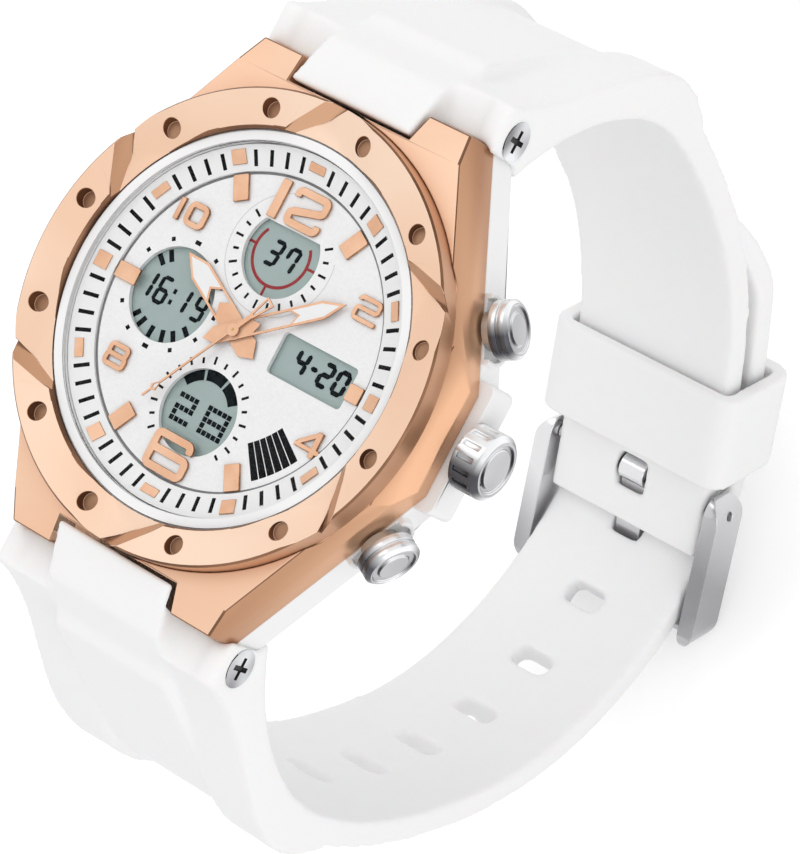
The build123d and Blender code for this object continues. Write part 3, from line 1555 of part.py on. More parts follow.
frame_angle = math.degrees(math.atan((bar_lift - cross_lift) / (bar_back + cross_forward)))
frame_reach = math.hypot(bar_back + cross_forward, bar_lift - cross_lift)
frame_middle = ((bar_back - cross_forward) / 2, (bar_lift + cross_lift) / 2, 0)
with BuildPart() as buckle_frame:
    with BuildSketch(buckle_side):
        with Locations(Location(frame_middle, (0, 0, 1), frame_angle)):
            SlotCenterToCenter(frame_reach, frame_height)
        with Locations((bar_back, bar_lift)):
            Circle(bar_pivot + fit, mode=Mode.SUBTRACT)
    extrude(amount=frame_inner + frame_thickness, both=True)
    with BuildSketch(buckle_side):
        Rectangle(band_drop, band_drop)
    extrude(amount=frame_inner, both=True, mode=Mode.SUBTRACT)
    with BuildSketch(buckle_side):
        with Locations((-cross_forward, cross_lift)):
            Circle(cross_radius)
    extrude(amount=frame_inner + frame_thickness, both=True)
    with BuildSketch(Plane(origin=end_point, x_dir=end_way * -1, z_dir=end_out)):
        with Locations(((bar_back - cross_forward) / 2, 0)):
            frame_length = bar_back + cross_forward + frame_height
            RectangleRounded(frame_length, (frame_inner + frame_thickness) * 2, frame_corner)
    extrude(amount=band_drop, both=True, mode=Mode.INTERSECT)
buckle_frame.part.label = "buckle_frame"
export_step(buckle_frame.part, "parts/buckle_frame.step")

with BuildPart() as buckle_tongue:
    with BuildSketch(buckle_side):
        with Locations(Location((bar_back, bar_lift, 0), (0, 0, 1), -tongue_angle)):
            with Locations((-tongue_reach / 2, 0)):
                Rectangle(tongue_reach, tongue_thickness)
        with Locations((bar_back, bar_lift)):
            Circle(tongue_hub)
            Circle(bar_radius + fit, mode=Mode.SUBTRACT)
    extrude(amount=tongue_width / 2, both=True)
buckle_tongue.part.label = "buckle_tongue"
export_step(buckle_tongue.part, "parts/buckle_tongue.step")

# Keeper: a soft loop round both straps
keeper_middle = (keeper_top_room - keeper_under_room) / 2
keeper_tall = keeper_top_room + keeper_under_room
with BuildPart() as keeper:
    with BuildSketch(Plane(origin=by_end(keeper_back, keeper_middle), x_dir=(1, 0, 0), z_dir=end_way * -1)):
        RectangleRounded((keeper_inner_half + keeper_wall) * 2, keeper_tall + keeper_wall * 2, keeper_corner)
        RectangleRounded(keeper_inner_half * 2, keeper_tall, keeper_corner - keeper_wall, mode=Mode.SUBTRACT)
    extrude(amount=keeper_length)
keeper.part.label = "keeper"
export_step(keeper.part, "parts/keeper.step")
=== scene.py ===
import json
import math

import bmesh
import bpy
from mathutils import Matrix, Vector

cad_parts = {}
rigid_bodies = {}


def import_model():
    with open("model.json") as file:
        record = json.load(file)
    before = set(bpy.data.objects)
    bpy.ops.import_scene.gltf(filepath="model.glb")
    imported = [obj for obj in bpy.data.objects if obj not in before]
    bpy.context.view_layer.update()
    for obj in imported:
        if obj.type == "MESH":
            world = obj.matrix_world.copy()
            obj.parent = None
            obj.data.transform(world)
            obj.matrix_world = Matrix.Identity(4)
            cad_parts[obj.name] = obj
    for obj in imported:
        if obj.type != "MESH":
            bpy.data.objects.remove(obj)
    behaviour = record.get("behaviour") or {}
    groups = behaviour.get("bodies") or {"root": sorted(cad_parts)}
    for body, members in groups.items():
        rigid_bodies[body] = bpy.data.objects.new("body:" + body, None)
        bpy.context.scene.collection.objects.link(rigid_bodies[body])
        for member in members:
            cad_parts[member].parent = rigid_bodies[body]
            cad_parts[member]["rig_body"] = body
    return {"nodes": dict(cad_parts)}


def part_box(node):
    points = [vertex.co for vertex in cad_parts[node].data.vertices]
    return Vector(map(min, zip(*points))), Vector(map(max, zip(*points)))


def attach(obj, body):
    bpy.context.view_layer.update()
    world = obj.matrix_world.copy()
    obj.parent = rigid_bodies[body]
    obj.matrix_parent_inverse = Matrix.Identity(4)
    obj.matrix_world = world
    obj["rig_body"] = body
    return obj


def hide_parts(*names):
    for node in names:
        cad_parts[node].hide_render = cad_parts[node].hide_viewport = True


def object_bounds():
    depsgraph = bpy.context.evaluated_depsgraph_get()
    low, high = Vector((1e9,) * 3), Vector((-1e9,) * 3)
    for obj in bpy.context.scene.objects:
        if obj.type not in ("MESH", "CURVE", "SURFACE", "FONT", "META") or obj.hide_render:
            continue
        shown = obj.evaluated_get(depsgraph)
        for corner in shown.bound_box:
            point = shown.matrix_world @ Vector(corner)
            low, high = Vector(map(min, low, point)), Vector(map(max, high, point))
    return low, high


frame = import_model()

cad_box = [list(corner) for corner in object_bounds()]
nodes = frame["nodes"]
mm = 0.001
metre = 1000  # in millimetres

# Case back: a round steel lid held by four small screws, with a flat gasket groove under its rim.
# Turned from stainless sheet, so its outer face keeps the fine rings of the lathe; screws are polished.


def finish(name, colour, roughness, metallic=0.0, **sockets):
    """A Principled material in one colour, ready for grain and wear; returns it with its shader."""
    material = bpy.data.materials.new(name)
    material.use_nodes = True
    shader = material.node_tree.nodes["Principled BSDF"]
    shader.inputs["Base Color"].default_value = (*colour, 1)
    shader.inputs["Roughness"].default_value = roughness
    shader.inputs["Metallic"].default_value = metallic
    for socket, value in sockets.items():
        shader.inputs[socket.replace("_", " ")].default_value = value
    return material, shader


def add_node(material, kind, settings=None, **inputs):
    """A node in a material's tree, with its settings and the values of its inputs."""
    node = material.node_tree.nodes.new(kind)
    for key, value in (settings or {}).items():
        setattr(node, key, value)
    for key, value in inputs.items():
        node.inputs[key.replace("_", " ")].default_value = value
    return node


def wire(material, start, output, end, socket):
    """Links an output of one node to an input of another, each by name or number."""
    material.node_tree.links.new(start.outputs[output], end.inputs[socket])


def mottle(material, size, stretch=(1, 1, 1), detail=3.0):
    """Noise fixed to the piece, its features about size millimetres wide."""
    place = add_node(material, "ShaderNodeTexCoord")
    turn = add_node(material, "ShaderNodeMapping", Scale=stretch)
    noise = add_node(material, "ShaderNodeTexNoise", Scale=metre / size, Detail=detail)
    wire(material, place, "Object", turn, "Vector")
    wire(material, turn, "Vector", noise, "Vector")
    return noise


def lathe_rings(material, pitch, centre=(0, 0, 0)):
    """Noise that depends on the distance from an axis along Z, so it reads as turned rings."""
    place = add_node(material, "ShaderNodeTexCoord")
    move = add_node(material, "ShaderNodeMapping", Location=[-c for c in centre], Scale=(1, 1, 0))
    reach = add_node(material, "ShaderNodeVectorMath", {"operation": "LENGTH"})
    line = add_node(material, "ShaderNodeCombineXYZ")
    noise = add_node(material, "ShaderNodeTexNoise", Scale=metre / pitch, Detail=2.0)
    wire(material, place, "Object", move, "Vector")
    wire(material, move, "Vector", reach, 0)
    wire(material, reach, "Value", line, "X")
    wire(material, line, "Vector", noise, "Vector")
    return noise


def vary_roughness(material, shader, noise, low, high):
    """Roughness that follows the noise between two values."""
    span = add_node(material, "ShaderNodeMapRange", To_Min=low, To_Max=high)
    wire(material, noise, 0, span, "Value")
    wire(material, span, "Result", shader, "Roughness")


def vary_colour(material, shader, noise, colour, other, low=0.35, high=0.65):
    """Colour that moves from one to the other where the noise rises from low to high."""
    span = add_node(material, "ShaderNodeMapRange", From_Min=low, From_Max=high)
    blend = add_node(material, "ShaderNodeMix", {"data_type": "RGBA"})
    blend.inputs[6].default_value = (*colour, 1)
    blend.inputs[7].default_value = (*other, 1)
    wire(material, noise, 0, span, "Value")
    wire(material, span, "Result", blend, 0)
    wire(material, blend, 2, shader, "Base Color")


def raise_grain(material, shader, noise, height):
    """Bump with its depth in millimetres."""
    bump = add_node(material, "ShaderNodeBump", Strength=1.0, Distance=height * mm)
    wire(material, noise, 0, bump, "Height")
    wire(material, bump, "Normal", shader, "Normal")


def dress(material, *names):
    """Gives CAD nodes their finish through their own material slots."""
    for name in names:
        for slot in nodes[name].material_slots:
            slot.material = material


def body_of(name):
    """The name of the body that a CAD node belongs to."""
    return nodes[name]["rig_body"]


def settle(piece, material, body, slot, *replaced):
    """Puts a finished mesh into the scene: its finish, the body it rides on and the nodes it stands for."""
    if material:
        piece.data.materials.clear()
        piece.data.materials.append(material)
    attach(piece, body)
    if replaced:
        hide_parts(*replaced)
    return piece


def piece_from(shape, name, smooth=35):
    """Turns a bmesh into an object at the origin, smooth except along edges sharper than the angle."""
    mesh = bpy.data.meshes.new(name)
    shape.to_mesh(mesh)
    shape.free()
    mesh.shade_smooth()
    mesh.set_sharp_from_angle(angle=math.radians(smooth))
    piece = bpy.data.objects.new(name, mesh)
    bpy.context.scene.collection.objects.link(piece)
    return piece


def sort_faces(piece, choose, *materials):
    """Gives each face one of the materials, picked from its middle in millimetres and its direction."""
    piece.data.materials.clear()
    for material in materials:
        piece.data.materials.append(material)
    for face in piece.data.polygons:
        face.material_index = choose(face.center / mm, face.normal)


weld_reach = 0.002 * mm
level_turn = 0.6  # degrees between faces that count as one


def merged_copy(node):
    """The mesh of a CAD node with its seams welded and the facets of each flat face joined."""
    shape = bmesh.new()
    shape.from_mesh(nodes[node].data)
    bmesh.ops.remove_doubles(shape, verts=shape.verts, dist=weld_reach)
    bmesh.ops.dissolve_limit(
        shape, angle_limit=math.radians(level_turn), verts=shape.verts, edges=shape.edges, delimit=set()
    )
    return shape


def bevel_edges(shape, edges, offset, segments=1, slide=False):
    """Rounds or chamfers edges by an offset in metres; returns what the bevel made."""
    return bmesh.ops.bevel(
        shape, geom=edges, offset=offset, offset_type="OFFSET", segments=segments, profile=0.5,
        affect="EDGES", clamp_overlap=False, material=-1, loop_slide=slide,
    )


corner_turn = 28  # degrees from which an edge counts as a corner


def machined_copy(node, name, edge, segments=2):
    """A copy of a node with its corners broken, as a tool or a mould leaves them."""
    shape = merged_copy(node)
    corners = [
        e for e in shape.edges if len(e.link_faces) == 2 and e.calc_face_angle(0) > math.radians(corner_turn)
    ]
    bevel_edges(shape, corners, edge * mm, segments, slide=True)
    piece = piece_from(shape, name)
    weights = piece.modifiers.new("weights", "WEIGHTED_NORMAL")
    weights.keep_sharp = True
    return piece


brushed_back, back_shader = finish("brushed_back", (0.46, 0.46, 0.47), 0.3, 1.0)
rings = lathe_rings(brushed_back, 0.09)
vary_roughness(brushed_back, back_shader, rings, 0.22, 0.42)
raise_grain(brushed_back, back_shader, rings, 0.012)
dress(brushed_back, "case_back")

# polished steel: the broad dark and light patches in its colour are painted reflection
polished_steel, reflection_steel_shader = finish("polished_steel", (0.5, 0.5, 0.52), 0.16, 1.0)
vary_roughness(polished_steel, reflection_steel_shader, mottle(polished_steel, 1.4), 0.12, 0.24)
vary_colour(
    polished_steel, reflection_steel_shader, mottle(polished_steel, 5.0, detail=1.0),
    (0.2, 0.2, 0.21), (0.78, 0.79, 0.81),
)
dress(polished_steel, "back_screws")

black_rubber, rubber_shader = finish("black_rubber", (0.011, 0.011, 0.012), 0.6)
vary_roughness(black_rubber, rubber_shader, mottle(black_rubber, 0.3), 0.5, 0.75)
raise_grain(black_rubber, rubber_shader, mottle(black_rubber, 0.06), 0.01)
dress(black_rubber, "back_gasket", "back_cushion", "crown_gasket")

# Module: white moulded frame that holds circuit board, cell, clamp, connectors and the buttons' contacts.
# It drops into the case from behind; nothing of it shows once the case is closed.
white_module, module_shader = finish("white_module", (0.8, 0.79, 0.76), 0.5)
vary_roughness(white_module, module_shader, mottle(white_module, 0.5), 0.42, 0.6)
raise_grain(white_module, module_shader, mottle(white_module, 0.08), 0.004)
dress(white_module, "module_frame", "lcd_holder")

board_laminate, board_shader = finish("board_laminate", (0.014, 0.105, 0.05), 0.35)
vary_colour(
    board_laminate, board_shader, mottle(board_laminate, 0.7, (1, 6, 1)),
    (0.012, 0.09, 0.043), (0.02, 0.14, 0.065),
)
raise_grain(board_laminate, board_shader, mottle(board_laminate, 0.2, (6, 1, 1)), 0.006)
dress(board_laminate, "circuit_board")

cell_axis = (0, -4.5 * mm, 0)
battery_steel, cell_shader = finish("battery_steel", (0.5, 0.5, 0.5), 0.3, 1.0)
vary_roughness(battery_steel, cell_shader, lathe_rings(battery_steel, 0.15, cell_axis), 0.25, 0.4)
dress(battery_steel, "battery")

spring_steel, spring_shader = finish("spring_steel", (0.5, 0.5, 0.48), 0.3, 1.0)
vary_roughness(spring_steel, spring_shader, mottle(spring_steel, 0.2, (1, 8, 1)), 0.25, 0.45)
dress(
    spring_steel, "battery_clamp", "pusher_spring_upper", "pusher_spring_lower",
    "pusher_clip_upper", "pusher_clip_lower",
)

connector_rubber, connector_shader = finish("connector_rubber", (0.5, 0.53, 0.55), 0.6)
vary_colour(
    connector_rubber, connector_shader, mottle(connector_rubber, 0.1, (1, 0.05, 0.05)),
    (0.62, 0.64, 0.66), (0.05, 0.05, 0.05),
)
dress(connector_rubber, "rubber_connectors")

contact_brass, contact_shader = finish("contact_brass", (0.6, 0.42, 0.1), 0.28, 1.0)
vary_roughness(contact_brass, contact_shader, mottle(contact_brass, 0.3), 0.2, 0.4)
dress(contact_brass, "button_contacts")

# Hand train and step motor: brass bridge and plate on three screws, brass wheels, steel rotor and stator.
# The coil is enamelled copper wire wound on a core; its turns show as fine ridges along it.
brass_plate, plate_shader = finish("brass_plate", (0.56, 0.41, 0.16), 0.38, 1.0)
vary_roughness(brass_plate, plate_shader, mottle(brass_plate, 0.15, (1, 10, 1)), 0.3, 0.5)
dress(brass_plate, "train_bridge", "main_plate")

brass_wheel, wheel_shader = finish("brass_wheel", (0.58, 0.38, 0.1), 0.25, 1.0)
vary_roughness(brass_wheel, wheel_shader, mottle(brass_wheel, 0.3), 0.18, 0.34)
dress(
    brass_wheel, "second_wheel", "centre_wheel", "hour_wheel", "third_wheel", "motion_wheel",
    "intermediate_wheel",
)

movement_steel, movement_shader = finish("movement_steel", (0.4, 0.41, 0.42), 0.3, 1.0)
vary_roughness(movement_steel, movement_shader, mottle(movement_steel, 0.25, (1, 5, 1)), 0.22, 0.4)
dress(
    movement_steel, "pillar_screws", "stator", "rotor", "stem_yoke", "crown_stem", "crown_tube",
    "pusher_tubes", "strap_tubes",
)

coil_copper, coil_shader = finish("coil_copper", (0.37, 0.092, 0.027), 0.3, 0.8)
turns = add_node(
    coil_copper, "ShaderNodeTexWave", {"wave_type": "BANDS", "bands_direction": "X"}, Scale=2500.0
)
wire(coil_copper, add_node(coil_copper, "ShaderNodeTexCoord"), "Object", turns, "Vector")
raise_grain(coil_copper, coil_shader, turns, 0.03)
dress(coil_copper, "coil")

# Liquid crystal panel: a glass sandwich with a grey green reflector, seen through the windows of the dial.
# Its segments are drawn dark inside the glass, so each digit is a thin dark form just above the panel.
lcd_glass, lcd_shader = finish("lcd_glass", (0.33, 0.42, 0.405), 0.35, Coat_Weight=0.3, Coat_Roughness=0.1)
vary_colour(lcd_glass, lcd_shader, mottle(lcd_glass, 0.05), (0.325, 0.415, 0.4), (0.36, 0.45, 0.435))
dress(lcd_glass, "lcd_panel")

panel_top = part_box("lcd_panel")[1].z
segment_ink, ink_shader = finish("segment_ink", (0.002, 0.006, 0.008), 0.5, Specular_IOR_Level=0.1)
vary_roughness(segment_ink, ink_shader, mottle(segment_ink, 0.1), 0.32, 0.5)

# middles of the round windows in the dial, in millimetres
top_window = (0.25, 7.8)
left_window = (-8.15, 0.15)
low_window = (0.2, -8.0)
# the panel lies under the dial, so its print sits a little to the left to look centred in each window
print_shift = -0.3
print_height = 0.02


def lay_bar(shape, middle, size, turn, foot, height, pointed=0.0):
    """A thin bar lying flat: its size along and across, turned clockwise, its two ends pointed if asked."""
    made = bmesh.ops.create_cube(shape, size=1.0)["verts"]
    bmesh.ops.scale(shape, vec=(size[0] * mm, size[1] * mm, height * mm), verts=made)
    if pointed:
        upright = [
            e for e in {e for v in made for e in v.link_edges}
            if abs((e.verts[0].co - e.verts[1].co).z) > height * mm / 2
        ]
        cut = bevel_edges(shape, upright, min(size) * mm * pointed)
        made = list({v for f in cut["faces"] for v in f.verts} | {v for v in made if v.is_valid})
    place = Matrix.Translation((middle[0] * mm, middle[1] * mm, foot + height * mm / 2))
    bmesh.ops.transform(shape, matrix=place @ Matrix.Rotation(-math.radians(turn), 4, "Z"), verts=made)
    return made


# the bars that are lit for each digit, a at the top and then clockwise, with g in the middle
digit_parts = {
    "0": "abcdef", "1": "bc", "2": "abged", "3": "abgcd", "4": "fgbc", "6": "afgedc", "7": "fabc",
    "9": "gfabcd", "-": "g",
}
# each bar of a digit: its side, its level and its turn
part_places = {
    "a": (0, 1, 0), "g": (0, 0, 0), "d": (0, -1, 0),
    "f": (-1, 0.5, 90), "b": (1, 0.5, 90), "e": (-1, -0.5, 90), "c": (1, -0.5, 90),
}
# parts of a bar's width: how much shorter it is than its place, and how far its ends are cut to a point
bar_gap_share = 0.1
bar_point_share = 0.38


def lcd_digit(shape, digit, middle, wide, tall, bar, lean):
    """One seven bar digit on the panel, leaning to the right."""
    made = []
    for part in digit_parts[digit]:
        across, up, turn = part_places[part]
        long = wide - bar if turn == 0 else (tall - bar) / 2
        spot = (across * (wide - bar) / 2, up * (tall - bar) / 2)
        made += lay_bar(
            shape, spot, (long - bar * bar_gap_share, bar), turn, panel_top, print_height, bar_point_share
        )
    lean_by = Matrix(((1, lean, 0, 0), (0, 1, 0, 0), (0, 0, 1, 0), (0, 0, 0, 1)))
    place = Matrix.Translation(((middle[0] + print_shift) * mm, middle[1] * mm, 0))
    bmesh.ops.transform(shape, matrix=place @ lean_by, verts=list(set(made)))


dot_pitch = 0.56
dot_size = 0.47


def dot_digit(shape, rows, left, top):
    """A digit made of square dots, from rows of marks."""
    for down, row in enumerate(rows):
        for along, mark in enumerate(row):
            if mark == "#":
                spot = (left + along * dot_pitch + print_shift, top - down * dot_pitch)
                lay_bar(shape, spot, (dot_size, dot_size), 0, panel_top, print_height)


def lay_print(shape, name, ink, slot, body="case"):
    """Turns the faces of a print outward, and puts it into the scene with its ink."""
    bmesh.ops.recalc_face_normals(shape, faces=shape.faces)
    settle(piece_from(shape, name), ink, body, slot)


digits = bmesh.new()
# top, left and right display: digit, middle, width, height, width of a bar and lean
for digit, middle, wide, tall, bar, lean in (
    ("3", (-0.5, 7.75), 1.45, 2.6, 0.4, 0.14), ("7", (1.4, 7.75), 1.4, 2.6, 0.4, 0.14),
    ("1", (-10.9, 0.1), 1.0, 2.8, 0.4, 0.08), ("6", (-9.3, 0.1), 1.45, 2.8, 0.4, 0.08),
    ("1", (-6.9, 0.15), 1.4, 2.6, 0.4, 0.08), ("9", (-4.85, 0.15), 1.4, 2.6, 0.4, 0.08),
    ("4", (7.35, 0.25), 1.5, 2.5, 0.46, 0.08), ("-", (8.85, 0.25), 1.25, 2.5, 0.46, 0.0),
    ("2", (10.2, 0.25), 1.5, 2.5, 0.46, 0.08), ("0", (11.95, 0.25), 1.5, 2.5, 0.46, 0.08),
):
    lcd_digit(digits, digit, middle, wide, tall, bar, lean)
# the colon of the left display, and the two digits of the low one
for level in (-0.55, 0.5):
    lay_bar(digits, (-8.05 + print_shift, level), (0.34, 0.46), 0, panel_top, print_height)
dot_digit(digits, ("####", "...#", "####", "#...", "####"), -2.2, -7.25)
dot_digit(digits, ("#####", "#...#", "#####", "#...#", "#####"), 1.1, -7.15)
# bars that stand for seconds along the edge of the left display
for x, y in (
    (-10.2, 3.2), (-11.0, 2.5), (-10.8, -2.9), (-9.8, -3.3), (-8.45, -3.7), (-7.1, -3.6), (-6.0, -3.2),
    (-5.0, -2.3),
):
    turn = math.degrees(math.atan2(left_window[1] - y, x - left_window[0]))
    lay_bar(digits, (x + print_shift, y), (1.15, 0.5), turn, panel_top, print_height)
lay_print(digits, "lcd_digits", segment_ink, "lcd_glass")


def ring_bar(shape, middle, inner, outer, start, end, foot, height, steps=48):
    """A flat band round a centre, from one clock angle to another in degrees."""
    whole = abs(end - start) >= 360
    corner = Matrix.Translation((middle[0] * mm, middle[1] * mm, foot))
    points = [(inner, 0), (outer, 0), (outer, height), (inner, height)]
    made = [shape.verts.new((0, r * mm, z * mm)) for r, z in points]
    face = shape.faces.new(made)
    bmesh.ops.rotate(shape, verts=made, cent=(0, 0, 0), matrix=Matrix.Rotation(-math.radians(start), 3, "Z"))
    bmesh.ops.transform(shape, matrix=corner, verts=made)
    bmesh.ops.spin(
        shape, geom=[face] + list(face.edges) + made, cent=corner.translation, axis=(0, 0, 1),
        dvec=(0, 0, 0), angle=-math.radians(end - start), steps=steps, use_merge=whole, use_duplicate=False,
    )
    if whole:
        bmesh.ops.delete(shape, geom=[face], context="FACES_ONLY")


def round_ticks(shape, middle, inner, outer, wide, angles, foot, height):
    """Radial marks round a centre at clock angles."""
    for angle in angles:
        turn = math.radians(angle)
        reach = (inner + outer) / 2
        spot = (middle[0] + reach * math.sin(turn), middle[1] + reach * math.cos(turn))
        lay_bar(shape, spot, (outer - inner, wide), angle - 90, foot, height)


red_ink, red_shader = finish("red_ink", (0.3, 0.004, 0.008), 0.45)
vary_roughness(red_ink, red_shader, mottle(red_ink, 0.1), 0.38, 0.55)
red = bmesh.new()
top_print = (top_window[0] + print_shift, top_window[1])
low_print = (low_window[0] + print_shift, low_window[1])
ring_bar(red, top_print, 2.82, 3.12, 57, 303, panel_top, print_height)
round_ticks(red, top_print, 3.075, 4.025, 0.26, (90, 180, 270), panel_top, print_height)
lay_print(red, "lcd_red_marks", red_ink, "lcd_glass")

arc = bmesh.new()
for start, end in ((-56, -22), (-17.5, 17.5), (22, 56)):
    ring_bar(arc, low_print, 2.95, 4.2, start, end, panel_top, print_height, steps=10)
lay_print(arc, "lcd_dark_arc", segment_ink, "lcd_glass")

# Dial plate: thin brass, lacquered white, with four windows, printed black scales and one faint ring.
# The print is pad printed ink a hundredth of a millimetre thick.
dial_face, dial_shader = finish("dial_face", (0.84, 0.84, 0.84), 0.42, Coat_Weight=0.25, Coat_Roughness=0.15)
vary_colour(dial_face, dial_shader, mottle(dial_face, 0.25), (0.88, 0.88, 0.885), (0.92, 0.92, 0.92))
raise_grain(dial_face, dial_shader, mottle(dial_face, 0.08), 0.002)
dress(dial_face, "dial_plate")

dial_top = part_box("dial_plate")[1].z
black_ink, black_shader = finish("black_ink", (0.003, 0.003, 0.004), 0.55, Specular_IOR_Level=0.15)
vary_roughness(black_ink, black_shader, mottle(black_ink, 0.1), 0.4, 0.6)
pale_ink, pale_shader = finish("pale_ink", (0.66, 0.66, 0.67), 0.5)
vary_roughness(pale_ink, pale_shader, mottle(pale_ink, 0.1), 0.4, 0.6)
ink_height = 0.01
tick_wide = 0.24

scales = bmesh.new()
# marks round the top and the low display, longer at every second one, and dots round the left display
for angle in range(60, 301, 15):
    reach = 5.3 if angle % 30 == 0 else 5.05
    round_ticks(scales, top_window, 4.45, reach, tick_wide, [angle], dial_top, ink_height)
for angle in range(-130, 131, 15):
    reach = 5.25 if angle % 2 == 0 else 5.05
    round_ticks(scales, low_window, 4.5, reach, tick_wide, [angle], dial_top, ink_height)
for angle in range(0, 360, 30):
    wide = 0.65 if angle % 90 == 0 else 0.4
    round_ticks(scales, left_window, 5.0, 5.4, wide, [angle], dial_top, ink_height)
# the fan of stripes beside the four
for stripe in range(6):
    start = 122.4 + stripe * 3.4
    ring_bar(scales, (0, 0), 10.4, 13.9, start, start + 3.0, dial_top, ink_height, steps=4)
lay_print(scales, "dial_scales", black_ink, "dial_face")

faint = bmesh.new()
ring_bar(faint, top_window, 5.66, 5.74, 75, 345, dial_top, ink_height)
lay_print(faint, "dial_faint_ring", pale_ink, "dial_face")

# Applied hour numerals and blocks: rose gold plated pieces riveted through the dial.
# Their tops are satin and their bevelled edges polished; the edges get a darker copy of the plating as
# painted shade.
rose_satin, satin_shader = finish("rose_satin", (0.86, 0.5, 0.31), 0.42, 0.2, Specular_IOR_Level=0.3)
vary_colour(rose_satin, satin_shader, mottle(rose_satin, 3.0), (0.82, 0.46, 0.28), (0.9, 0.56, 0.37))
# the edge finish is a darker copy of the rose plating: painted shade
rose_edge_painted_shade, edge_shade_shader = finish("rose_edge_painted_shade", (0.34, 0.15, 0.07), 0.25, 0.7)
vary_colour(rose_edge_painted_shade, edge_shade_shader, mottle(rose_edge_painted_shade, 1.5), (0.24, 0.1, 0.045), (0.55, 0.27, 0.14))


def satin_top_shaded_sides(level):
    """Satin for faces that look up by more than the level, and the darker painted-shade edge finish for the
    rest.
    """
    return lambda middle, way: 0 if way.z > level else 1


for name in ("hour_numerals", "hour_blocks"):
    applied = machined_copy(name, name + "_faceted", 0.1)
    sort_faces(applied, satin_top_shaded_sides(0.9), rose_satin, rose_edge_painted_shade)
    settle(applied, None, "case", "rose_applied", name)

# Flange: white moulded cone between dial and crystal, with a black minute scale printed on its slope.
# The hour marks glued on it are pressed rose metal, with a satin top between bevelled edges darkened by
# painted shade.
paint_height = 0.012
white_flange, flange_shader = finish("white_flange", (0.9, 0.9, 0.9), 0.45)
vary_roughness(white_flange, flange_shader, mottle(white_flange, 0.4), 0.38, 0.55)
dress(white_flange, "flange_ring")

# the cone starts on a low foot at its inner edge and rises outward; the scale lies about halfway up it
flange_foot = 0.3
flange_width = 2.3
flange_inner = 14.8
scale_middle = 1.1
flange_rise = (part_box("flange_ring")[1].z - dial_top - flange_foot * mm) / (flange_width * mm)
minutes = bmesh.new()
for minute in range(60):
    if minute % 5:
        made = lay_bar(minutes, (0, 0), (1.5, 0.38), -90, 0, paint_height)
        lean = Matrix.Rotation(math.atan(flange_rise), 4, "X")
        level = dial_top + (flange_foot + scale_middle * flange_rise) * mm
        place = Matrix.Translation((0, (flange_inner + scale_middle) * mm, level))
        turn = Matrix.Rotation(-math.radians(minute * 6), 4, "Z")
        bmesh.ops.transform(minutes, matrix=turn @ place @ lean, verts=made)
lay_print(minutes, "minute_scale", black_ink, "white_flange")

# their sides take the darker edge finish as painted shade
marks = machined_copy("flange_markers", "flange_marks_faceted", 0.05)
sort_faces(marks, satin_top_shaded_sides(0.85), rose_satin, rose_edge_painted_shade)
settle(marks, None, "case", "rose_applied", "flange_markers")

# a thin grey ring on the dial under the flange's inner edge: a painted shadow of the flange
painted_shadow_grey, painted_shadow_shader = finish("painted_shadow_grey", (0.2, 0.2, 0.21), 0.6)
vary_roughness(painted_shadow_grey, painted_shadow_shader, mottle(painted_shadow_grey, 0.3), 0.5, 0.7)
painted_shadow_ring = bmesh.new()
ring_bar(painted_shadow_ring, (0, 0), 14.55, 14.79, 0, 360, dial_top, ink_height, steps=128)
lay_print(painted_shadow_ring, "flange_painted_shadow", painted_shadow_grey, "white_flange")

# Hands: stamped rose gold strips, pointed at both ends, with an arrow-shaped opening; the outer part of the
# hour and minute hands is filled with white paint. The second hand is a thin needle.
hand_fill, fill_shader = finish("hand_fill", (0.9, 0.9, 0.9), 0.5)
vary_roughness(hand_fill, fill_shader, mottle(hand_fill, 0.3), 0.42, 0.6)
for name in ("hour_hand", "minute_hand", "second_hand"):
    # the blade's sides take the darker edge finish as painted shade
    blade = machined_copy(name, name + "_blade", 0.03)
    sort_faces(blade, satin_top_shaded_sides(0.8), rose_satin, rose_edge_painted_shade)
    settle(blade, None, body_of(name), "rose_hand", name)


# the painted end tapers over this length to the hand's point, inside a rim this wide
taper = 2.3
rim_wide = 0.24
root_notch = 0.8


def hand_paint(name, direction, half, reach, near):
    """White paint in the pointed end of a hand, from the tip of its notched root to its own tip."""
    shoulder = reach - half * taper / (half + rim_wide)
    heel = near - root_notch
    outline = [(0, reach), (half, shoulder), (half, heel), (0, near), (-half, heel), (-half, shoulder)]
    shape = bmesh.new()
    face = shape.faces.new([shape.verts.new((x * mm, y * mm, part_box(name)[1].z)) for x, y in outline])
    raised = bmesh.ops.extrude_face_region(shape, geom=[face])["geom"]
    lifted = [v for v in raised if isinstance(v, bmesh.types.BMVert)]
    bmesh.ops.translate(shape, vec=(0, 0, paint_height * mm), verts=lifted)
    bmesh.ops.rotate(
        shape, cent=(0, 0, 0), matrix=Matrix.Rotation(-math.radians(direction), 3, "Z"), verts=shape.verts
    )
    lay_print(shape, name + "_paint", hand_fill, "rose_hand", body_of(name))


hour_turn = 297.0  # degrees clockwise from twelve
minute_turn = 54.0
hand_paint("hour_hand", hour_turn, half=0.86, reach=8.89, near=5.28)
hand_paint("minute_hand", minute_turn, half=0.61, reach=10.61, near=6.68)

# Mid case: white moulded resin, with the wall under the cover, the lugs and the collars of the buttons.
# One moulding with a soft satin surface; its corners are slightly rounded where it left the mould.
white_resin, resin_shader = finish("white_resin", (0.9, 0.9, 0.9), 0.42)
vary_roughness(white_resin, resin_shader, mottle(white_resin, 0.8), 0.36, 0.5)
raise_grain(white_resin, resin_shader, mottle(white_resin, 0.15), 0.002)
settle(machined_copy("mid_case", "mid_case_moulded", 0.15), white_resin, "case", "white_resin", "mid_case")
